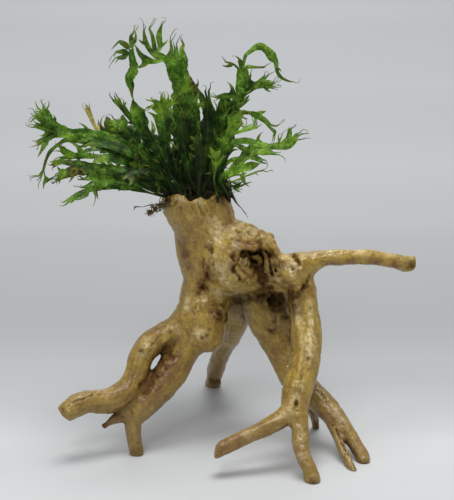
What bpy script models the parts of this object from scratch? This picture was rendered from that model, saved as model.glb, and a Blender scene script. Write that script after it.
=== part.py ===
"""Java fern on driftwood: a lace-leaved fern that grows on a stump, which stands on its own roots.

Frame: +Z up, the origin on the floor under the middle of the whole, and -Y to the front.
Lengths are written in millimetres and turned into metres by MM.
"""

import math

import bmesh
import bpy
from mathutils import Vector

MM = 0.001

# Driving dimensions, in millimetres
GAP = 0.3
FROND_THICKNESS = 0.8
LIMB_RING_RESOLUTION = 3
LIMB_STEPS = 2
THREAD_RING_RESOLUTION = 1
STEM_STEPS = 1
WIDE_BLADE = 7.0
SMOOTH_BELOW = math.radians(40)
FLOOR_BLOCK = 400.0
TOP_BLOCK = 80.0
TOP_CUT_HEIGHT = 151.5
TOP_CUT_FALL_DEGREES = 9.6
KNOT_HOLLOW_CENTRE = (17.5, -33, 115)
KNOT_HOLLOW_RADII = (9.5, 9, 8.5)
KNOT_HOLLOW_SEGMENTS = 14
KNOT_HOLLOW_RINGS = 8
WELD_DISTANCE = 0.01

WOOD_ROUGHNESS = 0.45
RHIZOME_ROUGHNESS = 0.8
LEAF_ROUGHNESS = 0.4
BROWN_LEAF_ROUGHNESS = 0.6

# Colours are linear
WOOD_COLOUR = (0.40, 0.27, 0.10)
RHIZOME_COLOUR = (0.05, 0.035, 0.015)
GREEN = (0.08, 0.20, 0.02)
PALE_GREEN = (0.22, 0.36, 0.05)
BROWN = (0.10, 0.06, 0.02)

# Sections of each limb, from the trunk outwards: x, y, z and radius
LIMBS = {
    "trunk": [
        (-19, -4, 160, 20), (-19, -4, 147, 20), (-13, -4, 133.5, 18.9), (-11.5, -5, 116, 18.5),
        (-10, -6, 101, 16), (-12.5, -9, 86, 15.5), (-16, -13, 74, 14.5), (-17.5, -14, 69, 13.5),
    ],
    "knot_mass": [
        (-12, -5, 108, 13), (-2, -8, 111.5, 19), (6, -12, 113.5, 21.5), (15, -15, 113.5, 17.5),
        (22, -17, 110, 13.5), (32.5, -18, 104.5, 10.5), (39, -20, 106.5, 11), (44, -21, 109, 8.5),
    ],
    "knee": [
        (-14, -16, 78.5, 11), (-11.5, -19, 72.5, 10.5), (-10, -21, 66, 8.5),
    ],
    "root_left_upper": [
        (-14.5, -10, 90.5, 8.5), (-20, -12, 80.5, 9.5), (-30, -16, 70.5, 8), (-42.5, -21, 64.5, 8),
        (-50, -26, 57.5, 7.5), (-54, -31, 45, 7), (-60, -36, 37.5, 7.5), (-69.5, -41, 33.5, 7.5),
        (-80, -46, 35, 6.5), (-88, -50, 33.5, 6.5), (-95, -54, 29.5, 5.5),
    ],
    "root_left_lower": [
        (-17, -14, 77, 10), (-21, -15, 68, 11), (-27.5, -20, 55.5, 10), (-34, -25, 44.5, 10),
        (-43, -30, 35, 9.5), (-50, -35, 27.5, 8), (-55, -38, 20, 5.5), (-55, -40, 12, 4.5),
        (-54, -41, 4.5, 4.5), (-53, -41.5, -1.5, 4),
    ],
    "twig_left": [
        (-56.5, -37, 27, 3.5), (-62, -39, 23, 3.5), (-66.5, -41, 21.5, 3), (-70, -43, 20, 2),
        (-73, -45, 18.5, 2),
    ],
    "root_back": [
        (1, -4, 107, 9), (5, 4, 93, 10.5), (5.5, 20, 69, 9.5), (4, 36, 53, 7.5), (-0.5, 50, 39.5, 6),
        (-4.5, 62, 26, 6), (-7.5, 75.5, 11, 5.5), (-9.5, 85, -2, 5.5),
    ],
    "root_right": [
        (12.5, -7, 106, 9), (22, 0, 89, 14.5), (26.5, 2, 72, 13.5), (32, 1, 59.5, 11.5), (37, -3, 48.5, 10),
        (42, -9, 38.5, 9.5), (49.5, -16.5, 32, 8.5), (57.5, -24, 26.5, 7.5), (65, -31.5, 20, 6.5),
        (71, -39, 13.5, 5.5), (76, -45, 8.5, 4.5), (79.5, -49.5, 4, 4.5), (81, -53, -1, 4),
    ],
    "stub_under": [
        (18, -4, 90.5, 3), (21.5, -13.5, 87.5, 3), (25.5, -12.5, 76.5, 3), (29, -11, 67.5, 3),
    ],
    "root_right_fork": [
        (63.5, -32.5, 18.5, 4), (65.5, -39, 14, 3.5), (67, -46, 9.5, 3), (70.5, -57, 3.5, 2.5),
        (74, -66, -2, 3),
    ],
    "root_right_peg": [
        (50.5, -16, 31.5, 5), (52, -13.5, 25.5, 4.5), (53.5, -7, 15.5, 3.5), (55.5, -1, 6.5, 3),
        (56.5, 3, -1, 2.5),
    ],
    "root_front": [
        (43.5, -21, 105.5, 7.5), (45, -25, 91, 9), (47.5, -30, 77, 9), (47, -37, 63.5, 9),
        (45.5, -43, 53.5, 9), (42, -50, 45, 9), (40.5, -56, 38, 8), (41, -61, 32, 6.5),
        (42.5, -66.5, 25.5, 5), (42.5, -71.5, 18, 5), (44.5, -76, 11.5, 4), (47.5, -79, 6, 4),
        (49.5, -82, -2.5, 5),
    ],
    "root_front_branch": [
        (41, -56, 38.5, 6), (33.5, -62, 31.5, 5.5), (24, -66, 26.5, 5), (14, -69, 23, 4.5),
        (5.5, -71, 20, 4.5), (-1, -73, 17.5, 4.5), (-6, -74, 15, 4.5),
    ],
    "branch_right": [
        (40, -20, 108.5, 8.5), (50.5, -20, 112.5, 6.5), (58.5, -19, 114.5, 5), (71.5, -17, 115, 4.5),
        (86, -14, 114, 4.5), (101, -11, 111, 4.5), (108, -9, 109, 4.5), (113.5, -8, 109, 4.5),
    ],
}

# The limb and everything it grows from
GROWS_FROM = {
    "trunk": [],
    "root_left_upper": ["trunk", "knot_mass", "knee"],
    "root_left_lower": ["trunk", "knot_mass", "knee", "root_left_upper"],
    "twig_left": ["root_left_upper", "root_left_lower"],
    "root_right": ["trunk", "knot_mass", "knee"],
    "root_right_fork": ["root_right"],
    "root_right_peg": ["root_right"],
    "root_back": ["trunk", "knot_mass", "knee", "root_right"],
    "root_front": ["trunk", "knot_mass", "root_right"],
    "root_front_branch": ["root_front"],
    "branch_right": ["trunk", "knot_mass", "root_front"],
}
JOINED = {"trunk": ["knot_mass", "knee"], "root_right": ["stub_under"]}
FEET = ["root_left_lower", "root_back", "root_right", "root_right_fork", "root_right_peg", "root_front"]

# Sections of the fern's stem and roots: x, y, z and radius
STEMS = {
    "rhizome": [
        (-26, -12, 155, 1.6), (-16, -9, 155, 2.5), (-5, -6, 155.5, 2.5), (1, -7, 155.5, 2.3),
        (4.5, -8, 153, 2.2), (5.5, -9, 150, 1.5),
    ],
    "root_tuft_left": [
        (-37.5, -19.5, 150, 1.6), (-39.5, -20, 148.5, 2.3), (-42.5, -20, 146, 2.8), (-47, -21, 147, 1.2),
        (-52, -21, 147.5, 0.6), (-56, -21, 146, 0.5),
    ],
    "root_thread_right": [
        (5, -11, 148, 0.6), (6.5, -12, 146, 0.6), (8.5, -14, 143.5, 0.6), (11, -16, 141, 0.6),
    ],
}

PALE_FRONDS = ["frond_pale_right", "frond_stipe_right", "frond_stipe_right_far", "frond_young_right",
               "frond_folded_light", "frond_small_tip"]
BROWN_FRONDS = ["frond_dying"]

# Each frond: the way its blade faces, the sections of the blade from its foot (x, y, z and width), and the
# sections of the lobes into which its end divides
FRONDS = {
    "frond_far_left": {
        "facing": (-0.2, -0.9, 0.4),
        "blade": [
            (-29, -14, 151, 1.5), (-35.5, -19, 164.5, 2.5), (-49.5, -24, 177.5, 4.5),
            (-63.5, -28, 186.5, 6.5), (-77.5, -31, 190.5, 6.5), (-88.5, -33, 191.5, 6),
            (-96, -34, 193, 8),
        ],
        "lobes": [
            [
                (-99.5, -34, 190, 3), (-103, -35, 188, 3), (-106.5, -36, 186.5, 2.5),
                (-109.5, -36, 184.5, 1),
            ],
            [(-103, -35, 194.5, 2.5), (-107.5, -36, 196.5, 2.5), (-111.5, -37, 196, 1)],
            [(-103.5, -36, 199, 3), (-106.5, -38, 203, 2.5), (-108.5, -39, 206, 1)],
            [(-100.5, -36, 200, 4.5), (-102.5, -37, 205.5, 3.5), (-104, -38, 210.5, 1)],
        ],
    },
    "frond_arching_left": {
        "facing": (-0.3, -0.9, 0.3),
        "blade": [
            (-31, -10, 150, 1.5), (-39, -14, 162, 2), (-53, -18, 173.5, 3), (-67, -22, 180.5, 3),
            (-81, -26, 185.5, 3), (-90.5, -28, 187, 3), (-96.5, -28, 184, 2.5), (-101, -28, 180, 2.5),
            (-103.5, -28, 175.5, 2), (-105.5, -27, 169, 1.5),
        ],
        "lobes": [
            [(-104, -27, 163.5, 1), (-100.5, -28, 164.5, 1), (-97.5, -28, 166.5, 0.5)],
            [(-107, -27, 165, 1), (-108.5, -27, 161, 0.5)],
            [(-108, -28, 166, 1), (-112.5, -29, 165, 0.5)],
        ],
    },
    "frond_curly_left": {
        "facing": (0.1, -0.8, 0.6),
        "blade": [
            (-30, -6, 149.5, 1.5), (-40.5, -8, 160, 2), (-55.5, -11, 169, 3), (-69, -14, 173.5, 3.5),
            (-80.5, -17, 176, 3.5), (-87.5, -18, 176, 4), (-92, -19, 176.5, 5),
        ],
        "lobes": [
            [(-96, -19, 175, 1.5), (-99.5, -20, 174.5, 1)],
            [(-94.5, -20, 180, 3.5), (-96.5, -21, 182.5, 1.5)],
        ],
    },
    "frond_brown_tip": {
        "facing": (0, -0.85, 0.5),
        "blade": [
            (-32, -3, 149, 1.5), (-42.5, -4, 157, 2), (-57, -4, 163.5, 3), (-69, -5, 166.5, 3.5),
            (-79.5, -6, 168, 3), (-86.5, -7, 169.5, 4), (-92, -8, 170, 3), (-97.5, -9, 171, 3),
            (-102, -9, 169.5, 3.5), (-104, -9, 169, 1),
        ],
        "lobes": [],
    },
    "frond_brown_low": {
        "facing": (0, -0.8, 0.6),
        "blade": [
            (-34, -6, 149.5, 1.5), (-42, -10, 155.5, 2), (-55.5, -12, 160.5, 3.5), (-67, -13, 164, 4.5),
            (-77, -13, 165.5, 5.5), (-84, -13, 165.5, 4.5), (-90.5, -14, 165.5, 4.5),
        ],
        "lobes": [
            [(-96, -14, 163, 2.5), (-99.5, -15, 161, 1.5), (-101, -15, 159.5, 0.5)],
            [(-96.5, -13, 166, 2), (-100, -13, 164.5, 1)],
        ],
    },
    "frond_dying": {
        "facing": (0.3, -0.9, 0.2),
        "blade": [
            (-27, 2, 148, 1.5), (-40, 6, 162.5, 2), (-55, 10, 171.5, 2.5), (-70, 12, 179, 2.5),
            (-77.5, 13, 186, 2), (-80.5, 14, 192, 2.5), (-83.5, 14, 199.5, 3.5), (-84.5, 14, 202.5, 2.5),
        ],
        "lobes": [],
    },
    "frond_leaf_left": {
        "facing": (-0.2, -0.95, 0.2),
        "blade": [
            (-26, -1, 148.5, 1.5), (-34.5, 0, 163.5, 2), (-44.5, 2, 171.5, 5), (-53.5, 4, 178, 8),
            (-61, 5, 183.5, 9), (-67, 6, 188.5, 8), (-70.5, 7, 192.5, 4), (-71.5, 7, 196, 1),
        ],
        "lobes": [],
    },
    "frond_forked_left": {
        "facing": (0.2, -0.95, 0.1),
        "blade": [
            (-24, -5, 149, 1.5), (-35.5, -5, 168.5, 2), (-45.5, -5, 181, 2.5), (-52, -5, 191.5, 3),
            (-57.5, -6, 198.5, 3), (-61, -6, 203.5, 3.5),
        ],
        "lobes": [
            [(-65, -7, 207, 2), (-68, -8, 210.5, 1.5)],
            [(-63, -6, 207, 2), (-64.5, -6, 211, 1)],
            [(-59.5, -5, 205, 1.5), (-60, -5, 206.5, 1)],
        ],
    },
    "frond_left_upper_mid": {
        "facing": (0.1, -0.8, 0.6),
        "blade": [
            (-28, -18, 151.5, 1.5), (-38, -24, 168, 1.5), (-46.5, -30, 175.5, 4.5), (-54.5, -35, 181, 6.5),
            (-63.5, -38, 184.5, 6), (-71, -40, 186.5, 5), (-76.5, -41, 186.5, 3), (-80, -42, 185.5, 1),
        ],
        "lobes": [],
    },
    "frond_left_mid": {
        "facing": (-0.1, -0.85, 0.5),
        "blade": [
            (-32, -15, 151, 1.5), (-39.5, -22, 162.5, 1.5), (-48.5, -30, 171, 4.5), (-56, -36, 176, 7),
            (-63.5, -41, 178.5, 7), (-68.5, -44, 179, 5), (-72.5, -46, 178, 3.5), (-75, -47, 176.5, 1),
        ],
        "lobes": [],
    },
    "frond_left_lower_mid": {
        "facing": (0.1, -0.75, 0.65),
        "blade": [
            (-35, -2, 148.5, 1.5), (-42.5, 0, 151, 1.5), (-51.5, 2, 157, 3.5), (-61.5, 4, 160, 6),
            (-71, 5, 162, 7), (-78.5, 6, 163, 6), (-84.5, 7, 162.5, 3), (-87.5, 7, 162, 1),
        ],
        "lobes": [],
    },
    "frond_left_low": {
        "facing": (0, -0.7, 0.7),
        "blade": [
            (-35, -17, 151.5, 1.5), (-43, -25, 156.5, 1.5), (-49.5, -31, 160.5, 3), (-57, -37, 163.5, 4.5),
            (-64.5, -43, 165.5, 4.5), (-70.5, -47, 167, 4.5), (-74, -50, 167, 6),
        ],
        "lobes": [
            [(-73.5, -51, 162, 2), (-72.5, -52, 159, 1.5), (-73.5, -52, 156, 0.5)],
            [(-76.5, -52, 165, 2), (-80, -53, 164, 1), (-82, -54, 164.5, 0.5)],
            [(-77, -52, 168.5, 2), (-80, -53, 169, 1), (-82, -54, 170.5, 0.5)],
        ],
    },
    "frond_left_lowest": {
        "facing": (-0.1, -0.8, 0.55),
        "blade": [
            (-36, -12, 150.5, 1.5), (-43.5, -17, 153.5, 1), (-49.5, -20, 156, 2.5), (-57.5, -24, 158.5, 4),
            (-66, -28, 160, 4), (-73, -31, 160, 4), (-79.5, -33, 158.5, 3.5), (-84.5, -35, 156.5, 4),
            (-87.5, -36, 154.5, 4),
        ],
        "lobes": [
            [(-89, -36, 151.5, 1.5)],
            [(-89.5, -37, 153.5, 2.5), (-92, -38, 151, 1)],
        ],
    },
    "frond_centre_broad": {
        "facing": (0.25, -0.95, 0.1),
        "blade": [
            (-13, -17, 151.5, 1.5), (-21, -19, 163, 4), (-22.5, -21, 174, 7), (-24.5, -22, 183, 8.5),
            (-25.5, -23, 190.5, 8.5), (-26, -24, 198, 6.5), (-25, -25, 204.5, 1.5),
        ],
        "lobes": [],
    },
    "frond_top_blade": {
        "facing": (-0.15, -0.98, 0.1),
        "blade": [
            (-16, -6, 149.5, 1.5), (-26, -6, 162.5, 2.5), (-27, -6, 177.5, 5.5), (-26.5, -6, 195.5, 8),
            (-25.5, -7, 209, 11.5), (-27, -8, 219, 12.5), (-28, -9, 226.5, 11.5), (-28.5, -9, 232, 10.5),
        ],
        "lobes": [
            [(-31.5, -10, 236.5, 2), (-32, -10, 241.5, 1), (-30, -11, 247.5, 0.5)],
            [(-29, -8, 237.5, 2), (-27.5, -8, 242.5, 0.5)],
            [(-25.5, -9, 236.5, 2.5), (-24.5, -9, 239.5, 1.5), (-25.5, -9, 243, 0.5)],
        ],
    },
    "frond_top_hand": {
        "facing": (0.1, -0.98, 0),
        "blade": [
            (-15, 2, 148, 1.5), (-29, 3, 161, 2.5), (-29.5, 4, 179, 3.5), (-29, 5, 197, 5),
            (-29, 6, 213, 5), (-31.5, 6, 224.5, 4.5), (-36, 5, 230, 4.5), (-40.5, 4, 231, 6),
        ],
        "lobes": [
            [(-45.5, 2, 229.5, 3.5), (-50, 0, 233, 2.5), (-52.5, -1, 237.5, 1), (-53.5, -1, 240.5, 0.5)],
            [(-44, 3, 234.5, 2.5), (-47, 2, 240, 2.5), (-48, 2, 245.5, 1.5), (-48.5, 1, 252, 0.5)],
            [(-42, 5, 236, 2.5), (-43, 5, 242.5, 2), (-45, 4, 248, 1), (-42, 4, 253.5, 0.5)],
            [(-39, 7, 237, 2.5), (-39.5, 8, 243.5, 3), (-38.5, 8, 248, 1.5), (-35.5, 9, 252.5, 0.5)],
        ],
    },
    "frond_tall_twisted": {
        "facing": (-0.35, -0.9, 0),
        "blade": [
            (-22, -9, 150, 1.5), (-34.5, -9, 165, 2), (-40.5, -9, 177, 3), (-44, -9, 184, 4),
            (-48, -10, 190.5, 6), (-49.5, -11, 196.5, 9), (-51.5, -11, 201, 8.5), (-53, -11, 205, 5.5),
            (-54.5, -12, 211, 2.5), (-55, -12, 216, 3.5), (-56.5, -12, 220, 5), (-54.5, -13, 223.5, 5),
            (-53.5, -13, 227.5, 4.5), (-54, -13, 231.5, 4), (-55, -14, 236, 3.5),
        ],
        "lobes": [
            [(-58.5, -15, 233, 2.5), (-62, -15, 232.5, 1.5), (-65.5, -15, 230, 0.5)],
            [(-58.5, -15, 236, 2.5), (-63, -16, 236, 1), (-65.5, -16, 233.5, 0.5)],
            [(-58, -15, 240, 3), (-61, -16, 242, 1.5), (-64, -17, 239.5, 0.5)],
            [(-54.5, -13, 241, 2.5), (-54.5, -13, 245, 1.5), (-52.5, -13, 250.5, 0.5)],
        ],
    },
    "frond_lacy_crest": {
        "facing": (-0.3, -0.9, 0.2),
        "blade": [
            (-21, -15, 151, 1.5), (-32, -20, 164.5, 2.5), (-34, -24, 177.5, 5), (-35, -27, 189.5, 7),
            (-35.5, -29, 199.5, 7.5), (-36.5, -30, 205, 9.5),
        ],
        "lobes": [
            [(-41.5, -31, 207.5, 3), (-46, -32, 204.5, 0.5)],
            [(-39, -32, 209.5, 3.5), (-42.5, -33, 211.5, 1)],
            [(-35, -33, 211, 3.5), (-35.5, -34, 214, 1.5)],
            [(-31, -32, 209.5, 3.5), (-28, -33, 212.5, 1)],
        ],
    },
    "frond_small_tip": {
        "facing": (0.5, -0.85, 0),
        "blade": [
            (-22, 4, 147.5, 1.5), (-33, 6, 162.5, 1.5), (-37.5, 8, 176.5, 2.5), (-40, 8.5, 187, 2.5),
            (-42, 8, 193, 1.5), (-44.5, 8, 197.5, 0.5),
        ],
        "lobes": [],
    },
    "frond_mid_lacy": {
        "facing": (0.2, -0.95, 0.2),
        "blade": [
            (-11, -13, 150.5, 1.5), (-19.5, -15, 166, 2.5), (-21, -16, 179, 4.5), (-22, -17, 191, 6),
            (-22.5, -17, 200.5, 6.5),
        ],
        "lobes": [
            [(-27, -18, 206.5, 2.5), (-31, -18, 207.5, 1)],
            [(-25, -18, 209, 3), (-27.5, -19, 212, 1)],
            [(-20.5, -18, 210, 3), (-21.5, -19, 214, 1)],
        ],
    },
    "frond_curved_mid": {
        "facing": (0.4, -0.9, 0),
        "blade": [
            (-8, -1, 148.5, 1.5), (-15.5, 1, 164.5, 2), (-14, 3, 177.5, 3), (-12, 5, 191, 4),
            (-12, 6, 200.5, 4.5), (-14.5, 6, 207, 4.5), (-18, 6, 211.5, 4), (-20, 6, 216, 2.5),
            (-21.5, 6, 219.5, 1.5),
        ],
        "lobes": [],
    },
    "frond_upright_dark": {
        "facing": (-0.2, -0.97, 0),
        "blade": [
            (-8.5, -11, 150.5, 1.5), (-12.5, -12, 165.5, 2.5), (-11.5, -13, 175.5, 4),
            (-11, -14, 184.5, 7), (-10.5, -14, 192.5, 8.5), (-10.5, -14, 200, 7.5), (-10.5, -14, 206, 5),
            (-10.5, -14, 209.5, 2.5),
        ],
        "lobes": [
            [(-12, -14, 213, 1), (-11.5, -14, 215.5, 0.5)],
            [(-10, -14, 213.5, 1), (-9, -14, 217.5, 0.5)],
        ],
    },
    "frond_bright_mid": {
        "facing": (-0.4, -0.9, 0),
        "blade": [
            (-11, -5, 149, 1.5), (-18, -4, 164, 2), (-18.5, -3, 177, 3), (-19.5, -2, 189, 3.5),
            (-19.5, -1, 197.5, 4), (-17, -1, 203.5, 4.5), (-13.5, -1, 205, 2),
        ],
        "lobes": [],
    },
    "frond_side_light": {
        "facing": (0.3, -0.9, 0.3),
        "blade": [
            (-6, -1.5, 148.5, 1.5), (-8, 1, 161.5, 2), (-2.5, 3.5, 176, 2.5), (3.5, 4, 191, 3),
            (7, 5, 201.5, 3), (5.5, 5, 207.5, 3.5), (0, 4, 208.5, 3.5), (-5.5, 3, 207.5, 2.5),
            (-9, 2, 208.5, 1),
        ],
        "lobes": [],
    },
    "frond_tall_right": {
        "facing": (-0.2, -0.97, 0),
        "blade": [
            (-6, 2.5, 148, 1.5), (-8, 5.5, 162.5, 2.5), (-2.5, 8, 177, 3.5), (2.5, 11, 190.5, 5),
            (6, 13, 201.5, 5), (8, 14, 209.5, 5.5), (9.5, 15, 217, 6.5), (9.5, 16, 223.5, 5.5),
        ],
        "lobes": [
            [(4, 14, 226.5, 1), (0, 13, 227.5, 1), (-2, 13, 230, 0.5)],
            [(8.5, 15, 228, 3), (7, 15, 230, 1.5)],
            [
                (11.5, 16, 230.5, 2), (14.5, 17, 233.5, 2.5), (17.5, 18, 235.5, 3.5),
                (20.5, 18, 236.5, 4.5), (24, 18, 234.5, 4), (27.5, 18, 230.5, 5.5), (30, 18, 227, 3),
                (30.5, 18, 222.5, 2), (33, 18, 218, 2), (38, 18, 215.5, 1), (43, 18, 214.5, 0.5),
            ],
            [(13, 16, 224.5, 2.5), (18, 17, 224, 1.5), (23, 18, 224, 1), (26, 18, 226, 0.5)],
        ],
    },
    "frond_right_low_branch": {
        "facing": (0.3, -0.9, 0.2),
        "blade": [
            (-6, 7, 146.5, 1.5), (-6.5, 10, 161.5, 2), (-0.5, 14, 175.5, 2.5), (3.5, 18, 189.5, 3),
            (6.5, 20, 201, 3), (11, 22, 207.5, 3.5), (18, 23, 212, 3.5),
        ],
        "lobes": [
            [(23.5, 24, 216.5, 2.5), (29, 25, 220.5, 1.5)],
            [(23.5, 25, 213, 2.5), (28.5, 26, 213, 1.5), (33, 27, 215, 0.5)],
            [(23.5, 24, 211.5, 1), (28.5, 24, 211, 1), (33, 24, 212.5, 0.5)],
        ],
    },
    "frond_thin_arch_right": {
        "facing": (0, -0.9, 0.4),
        "blade": [
            (-3, -11.5, 150.5, 1.5), (-6.5, -8, 166, 2), (-2, -6, 179, 2.5), (3.5, -3, 192.5, 2.5),
            (9, -2, 199.5, 2), (13, -2, 199.5, 1.5), (17, -2, 198, 3.5), (22, -3, 195.5, 3),
            (26, -3, 191.5, 2.5),
        ],
        "lobes": [
            [(29.5, -4, 191.5, 1), (34, -4, 195.5, 0.5)],
            [(29, -4, 188, 2), (28.5, -4, 182.5, 1)],
        ],
    },
    "frond_pale_right": {
        "facing": (0.2, -0.9, 0.3),
        "blade": [
            (0, -2, 148.5, 1.5), (-5.5, 0, 164.5, 1.5), (-3, 1, 176.5, 2), (1, 2, 184, 2),
            (7, 2, 187, 2), (13, 2, 188.5, 2), (17.5, 2, 190.5, 3),
        ],
        "lobes": [
            [(15.5, 2, 195.5, 1)],
            [(19, 2, 193.5, 2)],
            [(21.5, 2, 192, 1)],
        ],
    },
    "frond_dark_arch_right": {
        "facing": (0.1, -0.9, 0.4),
        "blade": [
            (1, -9, 150, 1.5), (-5.5, -12, 163.5, 2), (-1.5, -13, 174, 3.5), (3.5, -14, 182, 4.5),
            (10, -15, 184.5, 4), (17, -16, 183.5, 3.5), (24, -17, 181.5, 4), (30.5, -18, 182, 5),
        ],
        "lobes": [
            [(31, -19, 186, 1.5), (33, -19, 189.5, 0.5)],
            [(36, -19, 186, 2.5), (37, -19, 192, 1.5), (40.5, -19, 194, 0.5)],
            [(36.5, -19, 183.5, 2.5), (41, -19, 188.5, 1.5), (44.5, -19, 191.5, 0.5)],
            [(36.5, -19, 181.5, 2), (41, -19, 186, 1.5), (47, -19, 189.5, 0.5)],
        ],
    },
    "frond_lobed_right": {
        "facing": (0.1, -0.85, 0.5),
        "blade": [
            (2, -13, 150.5, 1.5), (-4, -18, 161.5, 2), (-1.5, -21, 169.5, 2), (3, -24, 174.5, 2.5),
            (8.5, -26, 176, 3), (13.5, -27, 177.5, 3.5),
        ],
        "lobes": [
            [(11.5, -28, 181, 3.5), (8, -29, 183, 3), (5, -29, 183.5, 1)],
            [(17.5, -28, 180, 3), (23, -28, 180, 3.5), (28, -29, 179, 1.5), (33, -29, 177, 0.5)],
            [(18, -28, 176, 3), (20.5, -29, 175, 2.5), (23.5, -29, 173.5, 1)],
        ],
    },
    "frond_bright_right": {
        "facing": (0.2, -0.8, 0.55),
        "blade": [
            (2, -17, 151.5, 1.5), (-3, -23, 162, 2.5), (0.5, -27, 167, 5), (6, -31, 170, 7),
            (11.5, -34, 172, 6), (16, -36, 173.5, 4), (19.5, -38, 175, 1),
        ],
        "lobes": [],
    },
    "frond_stipe_right": {
        "facing": (0, -0.9, 0.4),
        "blade": [
            (0.5, -10, 157.5, 1), (-0.5, -14, 161, 1), (3.5, -15, 163.5, 1), (7.5, -16, 164.5, 1),
            (10.5, -17, 163.5, 1), (11.5, -18, 159.5, 1),
        ],
        "lobes": [],
    },
    "frond_stipe_right_far": {
        "facing": (0, -0.9, 0.4),
        "blade": [
            (-5, -5, 159, 1), (0, -5, 157.5, 1), (6, -4, 159, 1), (12, -3, 161.5, 1), (18, -2, 163.5, 1.5),
        ],
        "lobes": [
            [(22, -1, 164.5, 1), (27, 0, 164.5, 1)],
            [(19, -2, 161.5, 1)],
        ],
    },
    "frond_young_right": {
        "facing": (0, -0.9, 0.4),
        "blade": [
            (2.5, -11, 155.5, 1), (0, -20, 160, 1), (3.5, -22, 159, 1.5), (7.5, -24, 159, 1.5),
            (11.5, -26, 161, 1), (15, -28, 162.5, 1),
        ],
        "lobes": [],
    },
    "frond_bright_crest_right": {
        "facing": (0.35, -0.9, 0.2),
        "blade": [
            (-2, -12, 150.5, 1.5), (-7.5, -16, 164.5, 2), (-3.5, -20, 177, 2.5), (0, -23, 186, 4.5),
            (3, -26, 193.5, 5.5),
        ],
        "lobes": [
            [(2.5, -27, 199.5, 2.5), (4, -28, 202.5, 1)],
            [(5.5, -28, 199.5, 2.5), (8, -29, 202.5, 1)],
            [(6.5, -27, 195.5, 2), (10, -28, 195, 0.5)],
        ],
    },
    "frond_folded_light": {
        "facing": (-0.3, -0.9, 0.2),
        "blade": [
            (-5, -18, 151.5, 1.5), (-7, -23, 162.5, 1), (-6, -25, 169, 1), (-5.5, -26, 174.5, 2),
            (-7.5, -27, 179, 3.5), (-9, -27, 182.5, 2.5),
        ],
        "lobes": [],
    },
    "frond_back_left_low": {
        "facing": (0, -0.2, 1),
        "blade": [
            (-32, 8, 147, 1.5), (-44, 18, 158, 4), (-60, 28, 166, 9), (-76, 38, 170, 10), (-90, 46, 168, 6),
            (-99, 52, 164, 1.5),
        ],
        "lobes": [],
    },
    "frond_back_left": {
        "facing": (-0.3, -0.5, 0.8),
        "blade": [
            (-24, 9, 147, 1.5), (-32, 24, 162, 4), (-44, 40, 174, 9), (-56, 55, 180, 10), (-66, 68, 180, 6),
            (-72, 76, 177, 1.5),
        ],
        "lobes": [],
    },
    "frond_back_centre_left": {
        "facing": (-0.5, -0.7, 0.5),
        "blade": [
            (-19, 13, 146, 1.5), (-22, 28, 166, 4), (-29, 44, 180, 9), (-35, 59, 188, 11),
            (-40, 72, 190, 6), (-42, 80, 188, 1.5),
        ],
        "lobes": [],
    },
    "frond_back_tall": {
        "facing": (-0.4, -0.85, 0.3),
        "blade": [
            (-14, 8, 147, 1.5), (-16, 20, 172, 4), (-21, 34, 194, 9), (-26, 46, 209, 10), (-30, 55, 218, 6),
            (-31, 61, 222, 1.5),
        ],
        "lobes": [],
    },
    "frond_back_right": {
        "facing": (0.5, -0.7, 0.5),
        "blade": [
            (-7, 8, 147, 1.5), (-3, 20, 168, 4), (2, 36, 183, 8), (6, 51, 191, 10), (9, 64, 192, 6),
            (10, 72, 190, 1.5),
        ],
        "lobes": [],
    },
    "frond_back_low": {
        "facing": (0.1, 0, 1),
        "blade": [
            (-11, 13, 146, 1.5), (-9, 30, 157, 4), (-7, 48, 160, 9), (-5, 64, 157, 10), (-4, 77, 150, 5),
            (-3, 85, 144, 1.5),
        ],
        "lobes": [],
    },
    "frond_front_left": {
        "facing": (-0.2, -0.75, 0.65),
        "blade": [
            (-24, -20, 152, 1.5), (-30.5, -27, 161, 2.5), (-39.5, -38, 168.5, 5),
            (-46.5, -49, 172.5, 5.5), (-52.5, -58, 172.5, 4), (-57, -64, 170, 1.5),
        ],
        "lobes": [],
    },
    "frond_front": {
        "facing": (0.2, -0.9, 0.35),
        "blade": [
            (-16, -21, 152, 1.5), (-15.5, -27, 163.5, 2.5), (-14, -35, 174.5, 5), (-15, -43, 183.5, 5.5),
            (-17, -50, 189.5, 4), (-19.5, -55, 193, 1.5),
        ],
        "lobes": [],
    },
}


def collection(name):
    made = bpy.data.collections.new(name)
    bpy.context.scene.collection.children.link(made)
    return made


def material(name, colour, roughness):
    made = bpy.data.materials.new(name)
    made.use_nodes = True
    shader = made.node_tree.nodes["Principled BSDF"]
    shader.inputs["Base Color"].default_value = (*colour, 1.0)
    shader.inputs["Roughness"].default_value = roughness
    return made


def curve_value(t, before, start, end, after):
    """The value at t on a Catmull-Rom curve, which runs from start to end while t runs from 0 to 1."""
    bend = t * t * (2 * before - 5 * start + 4 * end - after)
    return 0.5 * (2 * start + t * (end - before) + bend + t ** 3 * (3 * start - before - 3 * end + after))


def smooth_path(points, steps):
    """Points on a Catmull-Rom curve through the given ones; every value of a point is carried along."""
    ends = [points[0], *points, points[-1]]
    path = []
    for before, start, end, after in zip(ends, ends[1:], ends[2:], ends[3:]):
        for step in range(steps):
            t = step / steps
            path.append(tuple(curve_value(t, *values) for values in zip(before, start, end, after)))
    return [*path, tuple(points[-1])]


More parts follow.
